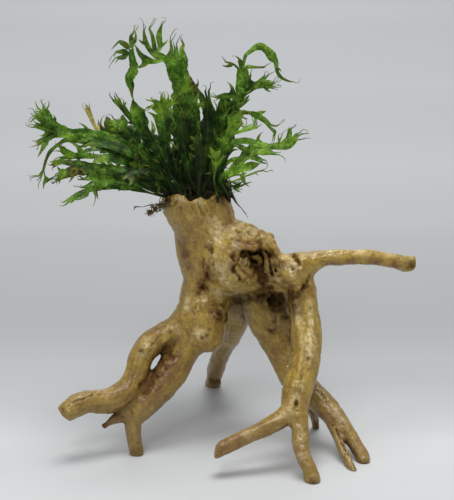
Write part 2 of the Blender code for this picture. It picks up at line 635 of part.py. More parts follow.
def tube(name, sections, home, grow=0.0, resolution=LIMB_RING_RESOLUTION, steps=LIMB_STEPS):
    """A closed mesh tube through the sections; grow widens it all round."""
    curve = bpy.data.curves.new(name, "CURVE")
    curve.dimensions = "3D"
    curve.bevel_depth = MM
    curve.bevel_resolution = resolution
    curve.use_fill_caps = True
    spline = curve.splines.new("POLY")
    path = smooth_path(sections, steps)
    spline.points.add(len(path) - 1)
    for point, (x, y, z, radius) in zip(spline.points, path):
        point.co = (x * MM, y * MM, z * MM, 1.0)
        point.radius = radius + grow
    guide = bpy.data.objects.new(name + "_guide", curve)
    bpy.context.scene.collection.objects.link(guide)
    graph = bpy.context.evaluated_depsgraph_get()
    mesh = bpy.data.meshes.new_from_object(guide.evaluated_get(graph))
    mesh.name = name
    made = bpy.data.objects.new(name, mesh)
    made.matrix_world = guide.matrix_world
    bpy.data.objects.remove(guide)
    bpy.data.curves.remove(curve)
    weld(mesh)
    mesh.shade_smooth()
    mesh.set_sharp_from_angle(angle=SMOOTH_BELOW)
    home.objects.link(made)
    return made


def weld(mesh):
    shell = bmesh.new()
    shell.from_mesh(mesh)
    bmesh.ops.remove_doubles(shell, verts=shell.verts, dist=WELD_DISTANCE * MM)
    bmesh.ops.recalc_face_normals(shell, faces=shell.faces)
    shell.to_mesh(mesh)
    shell.free()


def hide_cutter(cutter):
    cutter.hide_render = True
    cutter.display_type = "WIRE"
    return cutter


def combine(target, other, operation):
    modifier = target.modifiers.new(operation.title() + " " + other.name, "BOOLEAN")
    modifier.operation = operation
    modifier.object = other


def block(name, size, location, rotation, home):
    bpy.ops.mesh.primitive_cube_add(size=size * MM, location=location, rotation=rotation)
    return adopt(name, home)


def adopt(name, home):
    """Name the object that an operator has just made and move it into its collection."""
    made = bpy.context.object
    made.name = name
    for old in list(made.users_collection):
        old.objects.unlink(made)
    home.objects.link(made)
    return made


def floor_cutter(home):
    """The space under the floor: what it takes away leaves the feet flat."""
    return hide_cutter(block("floor_cutter", FLOOR_BLOCK, (0, 0, -FLOOR_BLOCK / 2 * MM), (0, 0, 0), home))


def top_cutter(home):
    """The space above the sawn top of the trunk, which falls a little towards the back."""
    tilt = math.radians(-TOP_CUT_FALL_DEGREES)
    front = Vector((LIMBS["trunk"][0][0], LIMBS["trunk"][0][1] - LIMBS["trunk"][0][3], TOP_CUT_HEIGHT))
    up = Vector((0, math.sin(-tilt), math.cos(tilt)))
    centre = (front + up * TOP_BLOCK / 2) * MM
    return hide_cutter(block("top_cutter", TOP_BLOCK, centre, (tilt, 0, 0), home))


def knot_cutter(home):
    centre = Vector(KNOT_HOLLOW_CENTRE) * MM
    bpy.ops.mesh.primitive_uv_sphere_add(
        segments=KNOT_HOLLOW_SEGMENTS, ring_count=KNOT_HOLLOW_RINGS, radius=MM, location=centre
    )
    made = adopt("knot_cutter", home)
    made.scale = KNOT_HOLLOW_RADII
    bpy.ops.object.transform_apply(location=False, rotation=False, scale=True)
    return hide_cutter(made)


def driftwood(parts, cutters):
    """The stump and its limbs, each cut by the grown shape of what it grows from, which leaves the gap."""
    wood = material("driftwood", WOOD_COLOUR, WOOD_ROUGHNESS)
    grown = {
        name: hide_cutter(tube(name + "_cutter", sections, cutters, grow=GAP))
        for name, sections in LIMBS.items()
    }
    floor = floor_cutter(cutters)
    for name, roots in GROWS_FROM.items():
        limb = tube(name, LIMBS[name], parts)
        limb.data.materials.append(wood)
        for lump in JOINED.get(name, []):
            combine(limb, hide_cutter(tube(lump + "_lump", LIMBS[lump], cutters)), "UNION")
        for root in roots:
            combine(limb, grown[root], "DIFFERENCE")
        if name in FEET:
            combine(limb, floor, "DIFFERENCE")
        if name == "trunk":
            combine(limb, top_cutter(cutters), "DIFFERENCE")
            combine(limb, knot_cutter(cutters), "DIFFERENCE")


def extrude_row(sheet, row, places):
    """Extrude one row of the sheet and put its new points at the places."""
    edges = [sheet.edges.get(pair) for pair in zip(row, row[1:])]
    grown = bmesh.ops.extrude_edge_only(sheet, edges=edges)["geom"]
    fresh = {item for item in grown if isinstance(item, bmesh.types.BMVert)}
    new_row = [
        next(edge.other_vert(vert) for edge in vert.link_edges if edge.other_vert(vert) in fresh)
        for vert in row
    ]
    for vert, place in zip(new_row, places):
        vert.co = place
    return new_row


def row_places(before, here, after, facing, count):
    """Points across a blade at one section, square to its run and to the way that it faces."""
    run = Vector(after[:3]) - Vector(before[:3])
    across = run.cross(facing).normalized() * here[3]
    centre = Vector(here[:3])
    return [(centre + across * (i / (count - 1) - 0.5)) * MM for i in range(count)]


def grow_strip(sheet, row, centre, sections, facing):
    """Carry a row of the sheet along its sections and return the last row."""
    path = [centre, *sections, sections[-1]]
    for before, here, after in zip(path, path[1:], path[2:]):
        row = extrude_row(sheet, row, row_places(before, here, after, facing, len(row)))
    return row


def frond(name, plan, home, finish):
    """A blade grown as a strip of sheet that divides into its lobes, given its thickness all over."""
    facing = Vector(plan["facing"]).normalized()
    blade, lobes = plan["blade"], plan["lobes"]
    width = max(section[3] for section in blade)
    strips = max(len(lobes), 2 if width > WIDE_BLADE else 1)
    sheet = bmesh.new()
    first = [sheet.verts.new(place) for place in row_places(blade[0], blade[0], blade[1], facing, strips + 1)]
    for pair in zip(first, first[1:]):
        sheet.edges.new(pair)
    tip = grow_strip(sheet, first, blade[0], blade[1:], facing)
    for index, lobe in enumerate(lobes):
        share = tip[index:index + 2]
        middle = (share[0].co + share[1].co) / 2 / MM
        grow_strip(sheet, share, tuple(middle), lobe, facing)
    bmesh.ops.recalc_face_normals(sheet, faces=sheet.faces)
    mesh = bpy.data.meshes.new(name)
    sheet.to_mesh(mesh)
    sheet.free()
    made = bpy.data.objects.new(name, mesh)
    home.objects.link(made)
    mesh.materials.append(finish)
    solidify = made.modifiers.new("Thickness", "SOLIDIFY")
    solidify.thickness = FROND_THICKNESS * MM
    solidify.offset = 0.0


def fern(parts):
    rhizome_skin = material("rhizome_skin", RHIZOME_COLOUR, RHIZOME_ROUGHNESS)
    green = material("frond_green", GREEN, LEAF_ROUGHNESS)
    pale = material("frond_pale", PALE_GREEN, LEAF_ROUGHNESS)
    brown = material("frond_brown", BROWN, BROWN_LEAF_ROUGHNESS)
    for name, sections in STEMS.items():
        resolution = LIMB_RING_RESOLUTION if name == "rhizome" else THREAD_RING_RESOLUTION
        stem = tube(name, sections, parts, resolution=resolution, steps=STEM_STEPS)
        stem.data.materials.append(rhizome_skin)
    for name, plan in FRONDS.items():
        leaf = brown if name in BROWN_FRONDS else pale if name in PALE_FRONDS else green
        frond(name, plan, parts, leaf)


def main():
    for old in list(bpy.data.objects):
        bpy.data.objects.remove(old)
    parts = collection("java_fern_on_driftwood")
    cutters = collection("cutters")
    driftwood(parts, cutters)
    fern(parts)


main()
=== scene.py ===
"""A lace-leaved java fern growing on a stump of driftwood: the looks built round its fixed frame."""

import math

import bpy
import numpy as np
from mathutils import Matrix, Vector


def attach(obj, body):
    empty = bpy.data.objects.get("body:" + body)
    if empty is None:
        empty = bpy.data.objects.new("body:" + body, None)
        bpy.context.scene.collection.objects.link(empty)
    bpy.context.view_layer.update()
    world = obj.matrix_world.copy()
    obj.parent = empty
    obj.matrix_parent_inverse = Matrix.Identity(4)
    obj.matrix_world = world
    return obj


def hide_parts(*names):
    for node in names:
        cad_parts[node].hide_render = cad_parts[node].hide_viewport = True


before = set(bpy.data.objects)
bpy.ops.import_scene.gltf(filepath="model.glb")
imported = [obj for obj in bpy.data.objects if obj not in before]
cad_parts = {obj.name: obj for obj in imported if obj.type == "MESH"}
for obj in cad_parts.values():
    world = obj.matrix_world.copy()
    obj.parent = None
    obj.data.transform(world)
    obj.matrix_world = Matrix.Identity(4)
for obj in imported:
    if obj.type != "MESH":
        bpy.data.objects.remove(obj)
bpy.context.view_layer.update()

MM = 0.001

# The camera in mm, how far it looks down, its lens, and its picture in pixels
CAMERA = (0.6, -778.0, 300.0)
PITCH = math.radians(13.35)
LENS = 94.9
SENSOR = 36.0
PICTURE = (454, 500)
FOCAL = LENS / SENSOR * max(PICTURE)

# Sections of the driftwood's limbs: x, y, z and radius, in mm
LIMBS = {
    "trunk": [
        (-19, -4, 160, 20), (-19, -4, 147, 20), (-13, -4, 133.5, 18.9), (-11.5, -5, 116, 18.5),
        (-10, -6, 101, 16), (-12.5, -9, 86, 15.5), (-16, -13, 74, 14.5), (-17.5, -14, 69, 13.5),
    ],
    "knot_mass": [
        (-12, -5, 108, 13), (-2, -8, 111.5, 19), (6, -12, 113.5, 21.5), (15, -15, 113.5, 17.5),
        (22, -17, 110, 13.5), (32.5, -18, 104.5, 10.5), (39, -20, 106.5, 11), (44, -21, 109, 8.5),
    ],
    "knee": [
        (-14, -16, 78.5, 11), (-11.5, -19, 72.5, 10.5), (-10, -21, 66, 8.5),
    ],
    "root_left_upper": [
        (-14.5, -10, 90.5, 8.5), (-20, -12, 80.5, 9.5), (-30, -16, 70.5, 8), (-42.5, -21, 64.5, 8),
        (-50, -26, 57.5, 7.5), (-54, -31, 45, 7), (-60, -36, 37.5, 7.5), (-69.5, -41, 33.5, 7.5),
        (-80, -46, 35, 6.5), (-88, -50, 33.5, 6.5), (-95, -54, 29.5, 5.5),
    ],
    "root_left_lower": [
        (-17, -14, 77, 10), (-21, -15, 68, 11), (-27.5, -20, 55.5, 10), (-34, -25, 44.5, 10),
        (-43, -30, 35, 9.5), (-50, -35, 27.5, 8), (-55, -38, 20, 5.5), (-55, -40, 12, 4.5),
        (-54, -41, 4.5, 4.5), (-53, -41.5, -1.5, 4),
    ],
    "twig_left": [
        (-56.5, -37, 27, 3.5), (-62, -39, 23, 3.5), (-66.5, -41, 21.5, 3), (-70, -43, 20, 2),
        (-73, -45, 18.5, 2),
    ],
    "root_back": [
        (1, -4, 107, 9), (5, 4, 93, 10.5), (5.5, 20, 69, 9.5), (4, 36, 53, 7.5), (-0.5, 50, 39.5, 6),
        (-4.5, 62, 26, 6), (-7.5, 75.5, 11, 5.5), (-9.5, 85, -2, 5.5),
    ],
    "root_right": [
        (12.5, -7, 106, 9), (22, 0, 89, 14.5), (26.5, 2, 72, 13.5), (32, 1, 59.5, 11.5), (37, -3, 48.5, 10),
        (42, -9, 38.5, 9.5), (49.5, -16.5, 32, 8.5), (57.5, -24, 26.5, 7.5), (65, -31.5, 20, 6.5),
        (71, -39, 13.5, 5.5), (76, -45, 8.5, 4.5), (79.5, -49.5, 4, 4.5), (81, -53, -1, 4),
    ],
    "stub_under": [
        (18, -4, 90.5, 3), (21.5, -13.5, 87.5, 3), (25.5, -12.5, 76.5, 3), (29, -11, 67.5, 3),
    ],
    "root_right_fork": [
        (63.5, -32.5, 18.5, 4), (65.5, -39, 14, 3.5), (67, -46, 9.5, 3), (70.5, -57, 3.5, 2.5),
        (74, -66, -2, 3),
    ],
    "root_right_peg": [
        (50.5, -16, 31.5, 5), (52, -13.5, 25.5, 4.5), (53.5, -7, 15.5, 3.5), (55.5, -1, 6.5, 3),
        (56.5, 3, -1, 2.5),
    ],
    "root_front": [
        (43.5, -21, 105.5, 7.5), (45, -25, 91, 9), (47.5, -30, 77, 9), (47, -37, 63.5, 9),
        (45.5, -43, 53.5, 9), (42, -50, 45, 9), (40.5, -56, 38, 8), (41, -61, 32, 6.5),
        (42.5, -66.5, 25.5, 5), (42.5, -71.5, 18, 5), (44.5, -76, 11.5, 4), (47.5, -79, 6, 4),
        (49.5, -82, -2.5, 5),
    ],
    "root_front_branch": [
        (41, -56, 38.5, 6), (33.5, -62, 31.5, 5.5), (24, -66, 26.5, 5), (14, -69, 23, 4.5),
        (5.5, -71, 20, 4.5), (-1, -73, 17.5, 4.5), (-6, -74, 15, 4.5),
    ],
    "branch_right": [
        (40, -20, 108.5, 8.5), (50.5, -20, 112.5, 6.5), (58.5, -19, 114.5, 5), (71.5, -17, 115, 4.5),
        (86, -14, 114, 4.5), (101, -11, 111, 4.5), (108, -9, 109, 4.5), (113.5, -8, 109, 4.5),
    ],
}

# The CAD nodes of the driftwood in the order in which they grow, each with the limbs that it is made of
WOOD_NODES = {
    "trunk": ["trunk", "knot_mass", "knee"],
    "root_left_upper": ["root_left_upper"],
    "root_left_lower": ["root_left_lower"],
    "twig_left": ["twig_left"],
    "root_right": ["root_right", "stub_under"],
    "root_right_fork": ["root_right_fork"],
    "root_right_peg": ["root_right_peg"],
    "root_back": ["root_back"],
    "root_front": ["root_front"],
    "root_front_branch": ["root_front_branch"],
    "branch_right": ["branch_right"],
}

# How widely a limb's surface runs into the wood that it grows from, in mm
FILLETS = {
    "trunk": 0.1, "knot_mass": 4.5, "knee": 5, "root_left_upper": 3, "root_left_lower": 3, "twig_left": 3,
    "root_right": 4, "stub_under": 1.5, "root_right_fork": 1, "root_right_peg": 2, "root_back": 3,
    "root_front": 2, "root_front_branch": 2, "branch_right": 2.5,
}

# Limbs that end in a cut: the way that the cut faces
CUT_ENDS = {
    "root_left_upper": (-0.72, -0.25, -0.64), "twig_left": (-0.8, -0.4, -0.45),
    "root_front_branch": (-0.92, -0.2, 0.33), "branch_right": (0.98, 0.1, -0.12),
    "stub_under": (0.3, -0.1, -0.95),
}

# Marks by their column and row in the picture: each lies on the first wood that the camera sees there.
# Lumps: column, row, then the radius and how far it stands out, in mm
LUMPS = [
    (243, 224, 4, 1.2), (248, 232, 2.6, 1), (240, 231, 2.6, 0.8), (256, 236, 2.6, 1), (262, 233, 2.6, 1.1),
    (271, 235, 2.7, 2.2), (283, 256, 4, 0.6), (252, 238, 1.8, 1), (258, 242, 1.6, 0.8), (265, 239, 1.8, 1),
    (245, 237, 1.8, 0.9), (268, 243, 1.6, 0.8), (274, 241, 1.6, 0.8), (238, 226, 1.8, 0.8),
    (210, 236, 1.8, 0.7), (214, 242, 1.8, 0.7), (207, 243, 1.6, 0.6), (216, 248, 1.8, 0.7),
    (206, 252, 1.6, 0.7), (213, 256, 1.8, 0.8), (208, 260, 1.8, 0.8), (218, 256, 1.6, 0.6),
    (205, 267, 1.8, 0.8), (221, 270, 1.8, 0.7), (212, 268, 1.6, 0.8), (206, 282, 1.8, 0.8),
    (200, 284, 1.6, 0.7), (207, 291, 1.8, 0.8), (195, 291, 1.6, 0.6), (213, 278, 1.8, 0.7),
    (246, 263, 2.8, 1.2), (278, 280, 1.8, 1), (262, 299, 2.6, 1.6), (268, 305, 3, 0.8), (213, 308, 3, 1),
    (222, 309, 2.6, 1.2), (215, 318, 3, 0.9), (219, 262, 3, 0.9), (217, 268, 2.4, 0.9), (223, 277, 4, 0.9),
    (204, 296, 2.6, 1.2), (208, 284, 2.4, 0.8), (213, 272, 2.6, 0.6), (228, 285, 6, 0.8),
    (236, 247, 3.4, 1.2), (190, 331, 3, 0.6), (199, 334, 4, 0.8), (145, 345, 5, 0.9), (296, 267, 2.2, 0.9),
    (301, 271, 2.4, 0.8), (290, 262, 3, 0.6), (250, 280, 3, 0.8), (242, 275, 2.5, 0.8), (255, 287, 2.4, 0.7),
    (272, 268, 2.4, 1), (284, 285, 4, 0.6), (296, 285, 4, 0.6), (407, 270, 3.4, 0.6), (306, 258, 3, 0.6),
    (240, 222, 3, 0.8), (219, 222, 4, 0.5), (311, 345, 4, 0.6), (297, 385, 4, 0.5), (290, 410, 4, 0.5),
    (297, 415, 3, 0.5), (336, 428, 2.2, 0.7), (222, 446, 3, 0.6), (216, 452, 2.6, 0.8), (138, 417, 4, 0.5),
    (168, 335, 4, 0.4), (271, 328, 3.4, 1), (268, 335, 2.6, 0.6), (284, 342, 3, 0.5), (313, 480, 3, 0.8),
    (63, 418, 3, 0.5), (166, 200, 3, 0.5), (179, 234, 4, 0.4), (122, 418, 2, 0.6), (365, 460, 3, 0.6),
    (141, 451, 3, 0.6),
]

# Hollows: column, row, how deep its middle lies, and its radii across, from front to back and up, in mm
HOLLOWS = [
    (259, 260, 1.6, 7.2, 8.0, 6.4), (249, 254, 1.0, 5.0, 5.4, 3.4), (269, 258, 0.9, 4.0, 5.4, 6.5),
    (259, 271, 1.0, 3.4, 4.0, 4.6), (263, 280, 0.9, 3.6, 4.2, 4.6), (267, 289, 0.8, 3.8, 4.6, 4.6),
    (274, 267, 0.1, 3.4, 4.4, 6.0), (276, 301, 1.0, 7.0, 5.0, 5.0), (256, 227, -3.4, 6.0, 6.0, 4.6),
    (234, 256, -0.3, 1.1, 1.6, 1.3), (233, 266, -0.3, 0.9, 1.4, 1.5), (211, 250, -0.3, 1.8, 1.8, 1.4),
    (202, 286, -0.5, 2.0, 1.6, 1.4), (206, 279, -0.6, 1.2, 1.6, 2.2), (308, 358, 0.2, 1.3, 2.4, 1.5),
    (219, 382, 0.6, 3.2, 8.0, 2.4), (219, 313, -0.2, 1.8, 1.8, 1.6), (271, 331, 0.0, 2.0, 1.6, 1.0),
    (62, 411, -0.2, 1.2, 1.4, 1.6), (296, 403, -0.1, 0.9, 1.6, 1.4), (297, 258, -0.4, 1.0, 1.8, 2.4),
    (172, 357, -0.4, 1.6, 1.6, 2.0),
]

# Ridges: how far each stands out, then column, row and radius in mm along it
RIDGES = [
    (0.9, [(231, 243, 1.6), (239, 245, 1.9), (249, 247, 1.6), (257, 246, 1.2)]),
    (0.8, [(264, 244, 1.6), (271, 250, 1.8), (275, 257, 1.8), (277, 265, 1.5)]),
    (-1.4, [(264, 250, 0.8), (268, 256, 1.0), (269, 263, 1.1), (267, 270, 0.9)]),
    (-4.2, [(256, 256, 1.6), (261, 256, 2.2), (265, 261, 1.8), (262, 268, 1.4)]),
    (0.2, [(272, 258, 0.9), (273, 265, 1.0), (274, 272, 1.0), (277, 279, 0.9)]),
    (0.3, [(277, 261, 0.8), (278, 268, 0.9), (279, 275, 0.8)]),
    (0.0, [(268, 266, 0.8), (269, 273, 1.0), (271, 279, 0.9)]),
    (-0.9, [(243, 262, 1.0), (247, 259, 1.0), (249, 264, 1.1), (246, 268, 1.2), (243, 264, 1.0)]),
    (0.5, [(240, 262, 0.9), (241, 269, 1.1), (247, 273, 1.1), (253, 278, 1.0)]),
    (0.7, [(233, 262, 1.0), (236, 268, 1.2), (242, 275, 1.2), (247, 283, 1.2), (252, 289, 1.0)]),
    (0.6, [(230, 271, 1.0), (236, 278, 1.2), (241, 285, 1.2), (245, 291, 1.0)]),
    (0.4, [(252, 280, 0.9), (256, 285, 1.0), (259, 291, 1.0), (262, 296, 1.0)]),
    (0.7, [(278, 291, 0.9), (286, 292, 1.1), (295, 291, 1.0), (301, 288, 0.8)]),
    (0.6, [(277, 281, 1.0), (284, 284, 1.2), (290, 288, 1.0)]),
    (1.1, [(295, 302, 2.0), (297, 320, 2.2), (300, 340, 2.2), (301, 360, 1.8), (298, 378, 1.6)]),
    (1.3, [(309, 300, 2.0), (311, 322, 2.2), (311, 346, 2.2), (309, 366, 1.8)]),
    (0.8, [(199, 222, 1.4), (200, 238, 1.8), (198, 256, 1.6), (196, 272, 1.4)]),
    (0.7, [(207, 205, 1.4), (210, 218, 1.8), (212, 232, 1.4)]),
    (0.7, [(226, 252, 1.4), (224, 264, 2.0), (226, 278, 2.0), (232, 290, 1.6)]),
    (0.7, [(190, 290, 2.0), (187, 303, 2.6), (180, 318, 2.4)]),
    (0.6, [(205, 299, 1.4), (203, 311, 1.8), (201, 324, 1.8)]),
    (0.5, [(194, 302, 1.2), (194, 314, 1.4), (190, 324, 1.4)]),
    (0.5, [(177, 210, 2.0), (182, 237, 2.2), (187, 262, 2.0), (190, 282, 1.6)]),
    (0.6, [(218, 218, 2.0), (219, 234, 2.6), (216, 251, 2.0)]),
    (0.5, [(221, 306, 1.0), (226, 313, 1.2), (226, 322, 1.2)]),
    (0.4, [(322, 392, 1.6), (334, 408, 1.8), (346, 424, 1.6), (356, 438, 1.4)]),
    (0.4, [(340, 436, 0.8), (345, 447, 0.9), (351, 459, 0.8)]),
    (0.3, [(303, 440, 1.4), (304, 454, 1.6), (308, 468, 1.6)]),
    (0.3, [(240, 436, 1.4), (255, 429, 1.6), (270, 421, 1.6)]),
    (0.4, [(296, 254, 0.8), (300, 259, 0.9), (302, 265, 0.8)]),
    (0.4, [(270, 318, 1.2), (274, 326, 1.4), (272, 333, 1.0)]),
]

# Cracks: width and depth in mm, then column and row along each
CRACKS = [
    (0.9, 0.7, [(229, 238), (237, 240), (246, 243), (256, 243), (263, 241)]),
    (0.7, 1.2, [(202, 256), (204, 261), (203, 267), (205, 272)]),
    (0.8, 1.1, [(208, 270), (206, 275), (209, 280), (206, 284)]),
    (0.7, 1.1, [(202, 279), (205, 284), (201, 289), (204, 293)]),
    (0.6, 0.9, [(197, 286), (201, 291), (198, 296)]),
    (0.6, 0.8, [(211, 283), (207, 288), (209, 293)]),
    (0.6, 0.7, [(209, 239), (212, 243), (210, 247)]),
    (0.6, 0.8, [(213, 251), (211, 255), (215, 260)]),
    (0.5, 0.5, [(207, 256), (209, 262), (206, 266)]),
    (0.9, 1.7, [(234, 252), (232, 258), (235, 264), (233, 270), (238, 277), (243, 283)]),
    (0.7, 1.1, [(239, 258), (238, 264), (242, 270), (247, 275)]),
    (0.8, 0.35, [(303, 302), (304, 316), (305, 330), (306, 344), (305, 356)]),
    (0.6, 1.0, [(197, 304), (195, 310), (193, 316)]),
    (0.7, 0.9, [(194, 242), (194, 250)]),
    (0.6, 0.8, [(233, 270), (238, 275), (244, 280), (249, 286)]),
    (0.6, 0.7, [(246, 273), (251, 278), (254, 284)]),
    (1.0, 1.9, [(291, 252), (295, 258), (299, 263), (300, 266)]),
    (0.7, 1.2, [(291, 267), (294, 271)]),
    (1.0, 1.8, [(310, 275), (308, 281), (304, 287), (302, 291)]),
    (0.7, 0.9, [(305, 374), (302, 377), (301, 382)]),
    (0.6, 0.8, [(301, 388), (300, 394)]),
    (0.8, 1.0, [(297, 399), (297, 404), (295, 409), (299, 411)]),
    (0.6, 1.0, [(94, 395), (84, 399), (76, 401), (72, 403)]),
    (0.5, 0.6, [(71, 405), (65, 408)]),
    (0.5, 0.5, [(103, 393), (98, 396)]),
    (0.7, 0.9, [(161, 335), (156, 340), (151, 346)]),
    (0.8, 1.1, [(155, 375), (158, 377), (160, 376)]),
    (0.7, 1.0, [(151, 382), (155, 382)]),
    (0.7, 0.8, [(147, 387), (151, 385)]),
    (0.8, 1.0, [(142, 396), (145, 393), (147, 392)]),
    (0.8, 1.2, [(331, 424), (337, 431), (341, 441)]),
    (0.7, 1.2, [(340, 441), (345, 449), (350, 456)]),
    (0.8, 1.2, [(212, 305), (217, 304), (222, 305), (225, 309)]),
    (0.7, 1.0, [(211, 312), (214, 317), (219, 320), (223, 318)]),
    (0.9, 1.5, [(227, 312), (227, 318), (225, 322)]),
    (0.5, 0.5, [(323, 251), (331, 253), (341, 252)]),
    (0.5, 0.4, [(352, 252), (366, 251), (380, 253)]),
    (0.7, 0.8, [(273, 321), (277, 325), (276, 330)]),
    (0.7, 0.7, [(282, 343), (285, 341), (288, 342)]),
    (0.6, 0.6, [(281, 353), (284, 357), (287, 356)]),
    (0.5, 0.6, [(303, 346), (305, 351), (308, 354)]),
    (0.5, 0.5, [(311, 332), (313, 337), (313, 343)]),
    (0.6, 0.8, [(320, 391), (323, 396), (325, 399)]),
    (0.7, 0.7, [(240, 227), (246, 230), (252, 236)]),
    (0.6, 0.7, [(234, 229), (237, 234), (241, 237)]),
    (0.7, 0.9, [(267, 246), (272, 253), (277, 259)]),
    (0.6, 0.8, [(280, 258), (285, 264), (287, 270)]),
    (0.5, 0.6, [(209, 244), (212, 247), (210, 251)]),
    (0.5, 0.5, [(205, 230), (208, 235), (210, 240)]),
    (0.5, 0.6, [(180, 207), (181, 213), (179, 218)]),
    (0.5, 0.5, [(222, 204), (224, 210), (225, 216)]),
    (0.5, 0.6, [(134, 372), (133, 380), (130, 388)]),
    (0.6, 0.6, [(128, 400), (131, 408), (131, 415)]),
    (0.5, 0.5, [(300, 428), (301, 438), (301, 448)]),
    (0.5, 0.6, [(302, 452), (302, 460), (304, 466)]),
]

# Pits: column, row, radius and depth in mm
PITS = [
    (202, 338, 1.0, 0.9), (207, 336, 1.1, 0.9), (210, 330, 0.9, 0.7), (140, 351, 1.3, 1.1),
    (143, 353, 0.8, 0.7), (171, 332, 1.0, 0.8), (170, 354, 1.3, 1.1), (166, 369, 0.9, 0.7),
    (141, 385, 1.3, 1.1), (117, 409, 0.9, 0.6), (123, 417, 1.0, 0.8), (311, 309, 0.8, 0.8),
    (301, 379, 0.7, 0.6), (408, 268, 1.2, 0.7), (400, 258, 0.8, 0.5), (206, 247, 0.8, 0.6),
    (212, 252, 1.0, 0.8), (275, 233, 0.8, 0.8), (238, 233, 0.8, 0.7), (178, 234, 0.8, 0.4),
    (66, 412, 0.9, 0.7), (61, 409, 0.9, 0.6), (192, 311, 0.8, 0.6), (214, 301, 0.9, 0.6),
    (138, 443, 0.9, 0.5), (345, 454, 0.8, 0.5), (213, 265, 0.9, 0.8), (208, 268, 0.9, 0.8),
    (229, 292, 0.9, 0.5), (275, 243, 0.8, 0.5), (236, 250, 0.8, 0.5), (281, 262, 0.8, 0.7),
    (274, 283, 0.9, 0.8), (280, 276, 0.9, 0.8), (222, 449, 0.8, 0.6), (226, 441, 0.7, 0.4),
    (287, 318, 1.2, 1.0), (243, 262, 0.8, 0.8), (246, 266, 0.8, 0.8), (248, 260, 0.7, 0.7),
    (254, 275, 0.9, 0.8), (217, 314, 0.9, 0.8), (222, 315, 0.8, 0.7), (205, 291, 0.8, 0.8),
    (199, 293, 0.8, 0.7), (296, 372, 0.6, 0.4), (315, 330, 0.6, 0.4), (305, 333, 0.6, 0.4),
    (240, 282, 0.8, 0.6), (191, 222, 0.8, 0.4), (184, 226, 0.8, 0.4), (204, 214, 0.7, 0.4),
    (232, 222, 0.7, 0.5),
]

# Patches of other colour, and patches of painted shade and painted highlights: column, row, reach in mm and
# strength
REDDISH = [
    (173, 354, 5, 1), (170, 363, 5, 1), (164, 375, 5, 1), (157, 387, 5, 0.9), (151, 396, 4, 0.7),
    (180, 242, 4, 0.7), (184, 254, 4, 0.9), (187, 267, 4, 0.7), (203, 264, 2.5, 0.6), (166, 350, 6, 1),
    (163, 362, 7, 1), (157, 375, 7, 1), (150, 388, 7, 1), (143, 397, 5, 0.7), (150, 403, 5, 0.4),
    (172, 340, 5, 0.6), (262, 254, 4.5, 1), (268, 258, 4, 0.8), (258, 269, 5, 1), (261, 277, 6, 1),
    (264, 285, 6.5, 1), (268, 292, 6, 1), (240, 254, 4, 0.8), (237, 260, 3.5, 0.6), (284, 282, 3, 0.9),
    (291, 288, 3, 0.8), (233, 255, 2.6, 1), (232, 268, 2.6, 0.9), (239, 242, 3.5, 0.8), (249, 244, 3.5, 0.9),
    (259, 244, 3.5, 0.9), (262, 256, 3.2, 1), (354, 264, 4, 0.6), (373, 263, 4, 0.6), (395, 267, 4, 0.8),
    (337, 263, 4, 0.4), (313, 412, 7, 1), (315, 422, 4, 0.9), (113, 421, 6, 0.7), (104, 426, 4, 0.8),
    (216, 312, 3, 0.7), (220, 318, 4, 0.8), (285, 392, 5, 0.4), (300, 395, 4, 0.4), (258, 426, 5, 0.4),
    (240, 440, 5, 0.5), (225, 445, 5, 0.6), (203, 285, 4.5, 1), (208, 276, 3, 0.9), (197, 292, 3, 0.7),
    (211, 250, 2.4, 0.6), (271, 328, 3.4, 0.9), (276, 322, 3, 0.5), (176, 355, 5, 0.7), (170, 380, 4, 0.4),
    (98, 409, 5, 0.3), (184, 329, 4, 0.3), (228, 208, 5, 0.3), (320, 412, 4, 0.6), (332, 419, 4, 0.6),
    (280, 268, 3, 0.5), (236, 262, 3, 0.6), (222, 318, 4, 0.6), (145, 362, 3, 0.4), (135, 375, 4, 0.3),
]
# Painted shade: in the knot's hollow, under its ledge, between the roots and at the feet
PAINTED_SHADE = [
    (255, 262, 5, 1), (263, 266, 3.5, 0.9), (250, 253, 4, 0.9), (262, 250, 4, 0.9), (271, 254, 3.4, 0.9),
    (275, 266, 1.6, 0.7), (270, 272, 1.6, 0.7), (258, 268, 4, 0.8), (290, 320, 3.4, 0.9), (290, 338, 4, 0.8),
    (291, 350, 3, 0.6), (271, 332, 2.6, 0.7), (272, 300, 7, 1), (281, 303, 8, 1), (285, 313, 6, 1),
    (292, 298, 6, 1), (300, 294, 4.5, 0.9), (306, 285, 2.5, 0.8), (288, 318, 4, 0.9), (250, 298, 4.5, 0.9),
    (239, 302, 4.5, 0.9), (229, 307, 3.4, 0.6), (258, 297, 4.5, 0.9), (137, 453, 4, 0.7), (212, 381, 5, 1),
    (313, 482, 3, 0.9), (365, 463, 3, 0.6), (353, 467, 2.5, 0.5), (170, 347, 4, 0.6), (165, 352, 4.5, 0.7),
    (161, 361, 4.5, 0.7), (156, 371, 4.5, 0.7), (151, 381, 4.5, 0.65), (147, 390, 4, 0.6), (268, 306, 4, 0.9),
    (274, 309, 4.5, 0.9), (281, 309, 5, 1), (288, 307, 5, 1), (293, 306, 4, 1), (294, 312, 3, 0.8),
    (262, 303, 4, 0.8), (244, 303, 3.4, 0.8), (317, 426, 3, 0.8), (413, 266, 3, 0.8), (102, 428, 3, 0.8),
    (218, 453, 2.5, 0.4), (227, 316, 3, 0.8), (224, 303, 3, 0.5), (296, 256, 2, 0.8), (308, 358, 1.6, 1),
    (203, 286, 2.4, 0.7), (207, 277, 1.8, 0.6), (59, 415, 2.5, 0.4), (166, 196, 5, 0.3), (222, 196, 4, 0.3),
    (291, 345, 3, 0.5), (291, 330, 3, 0.6),
]
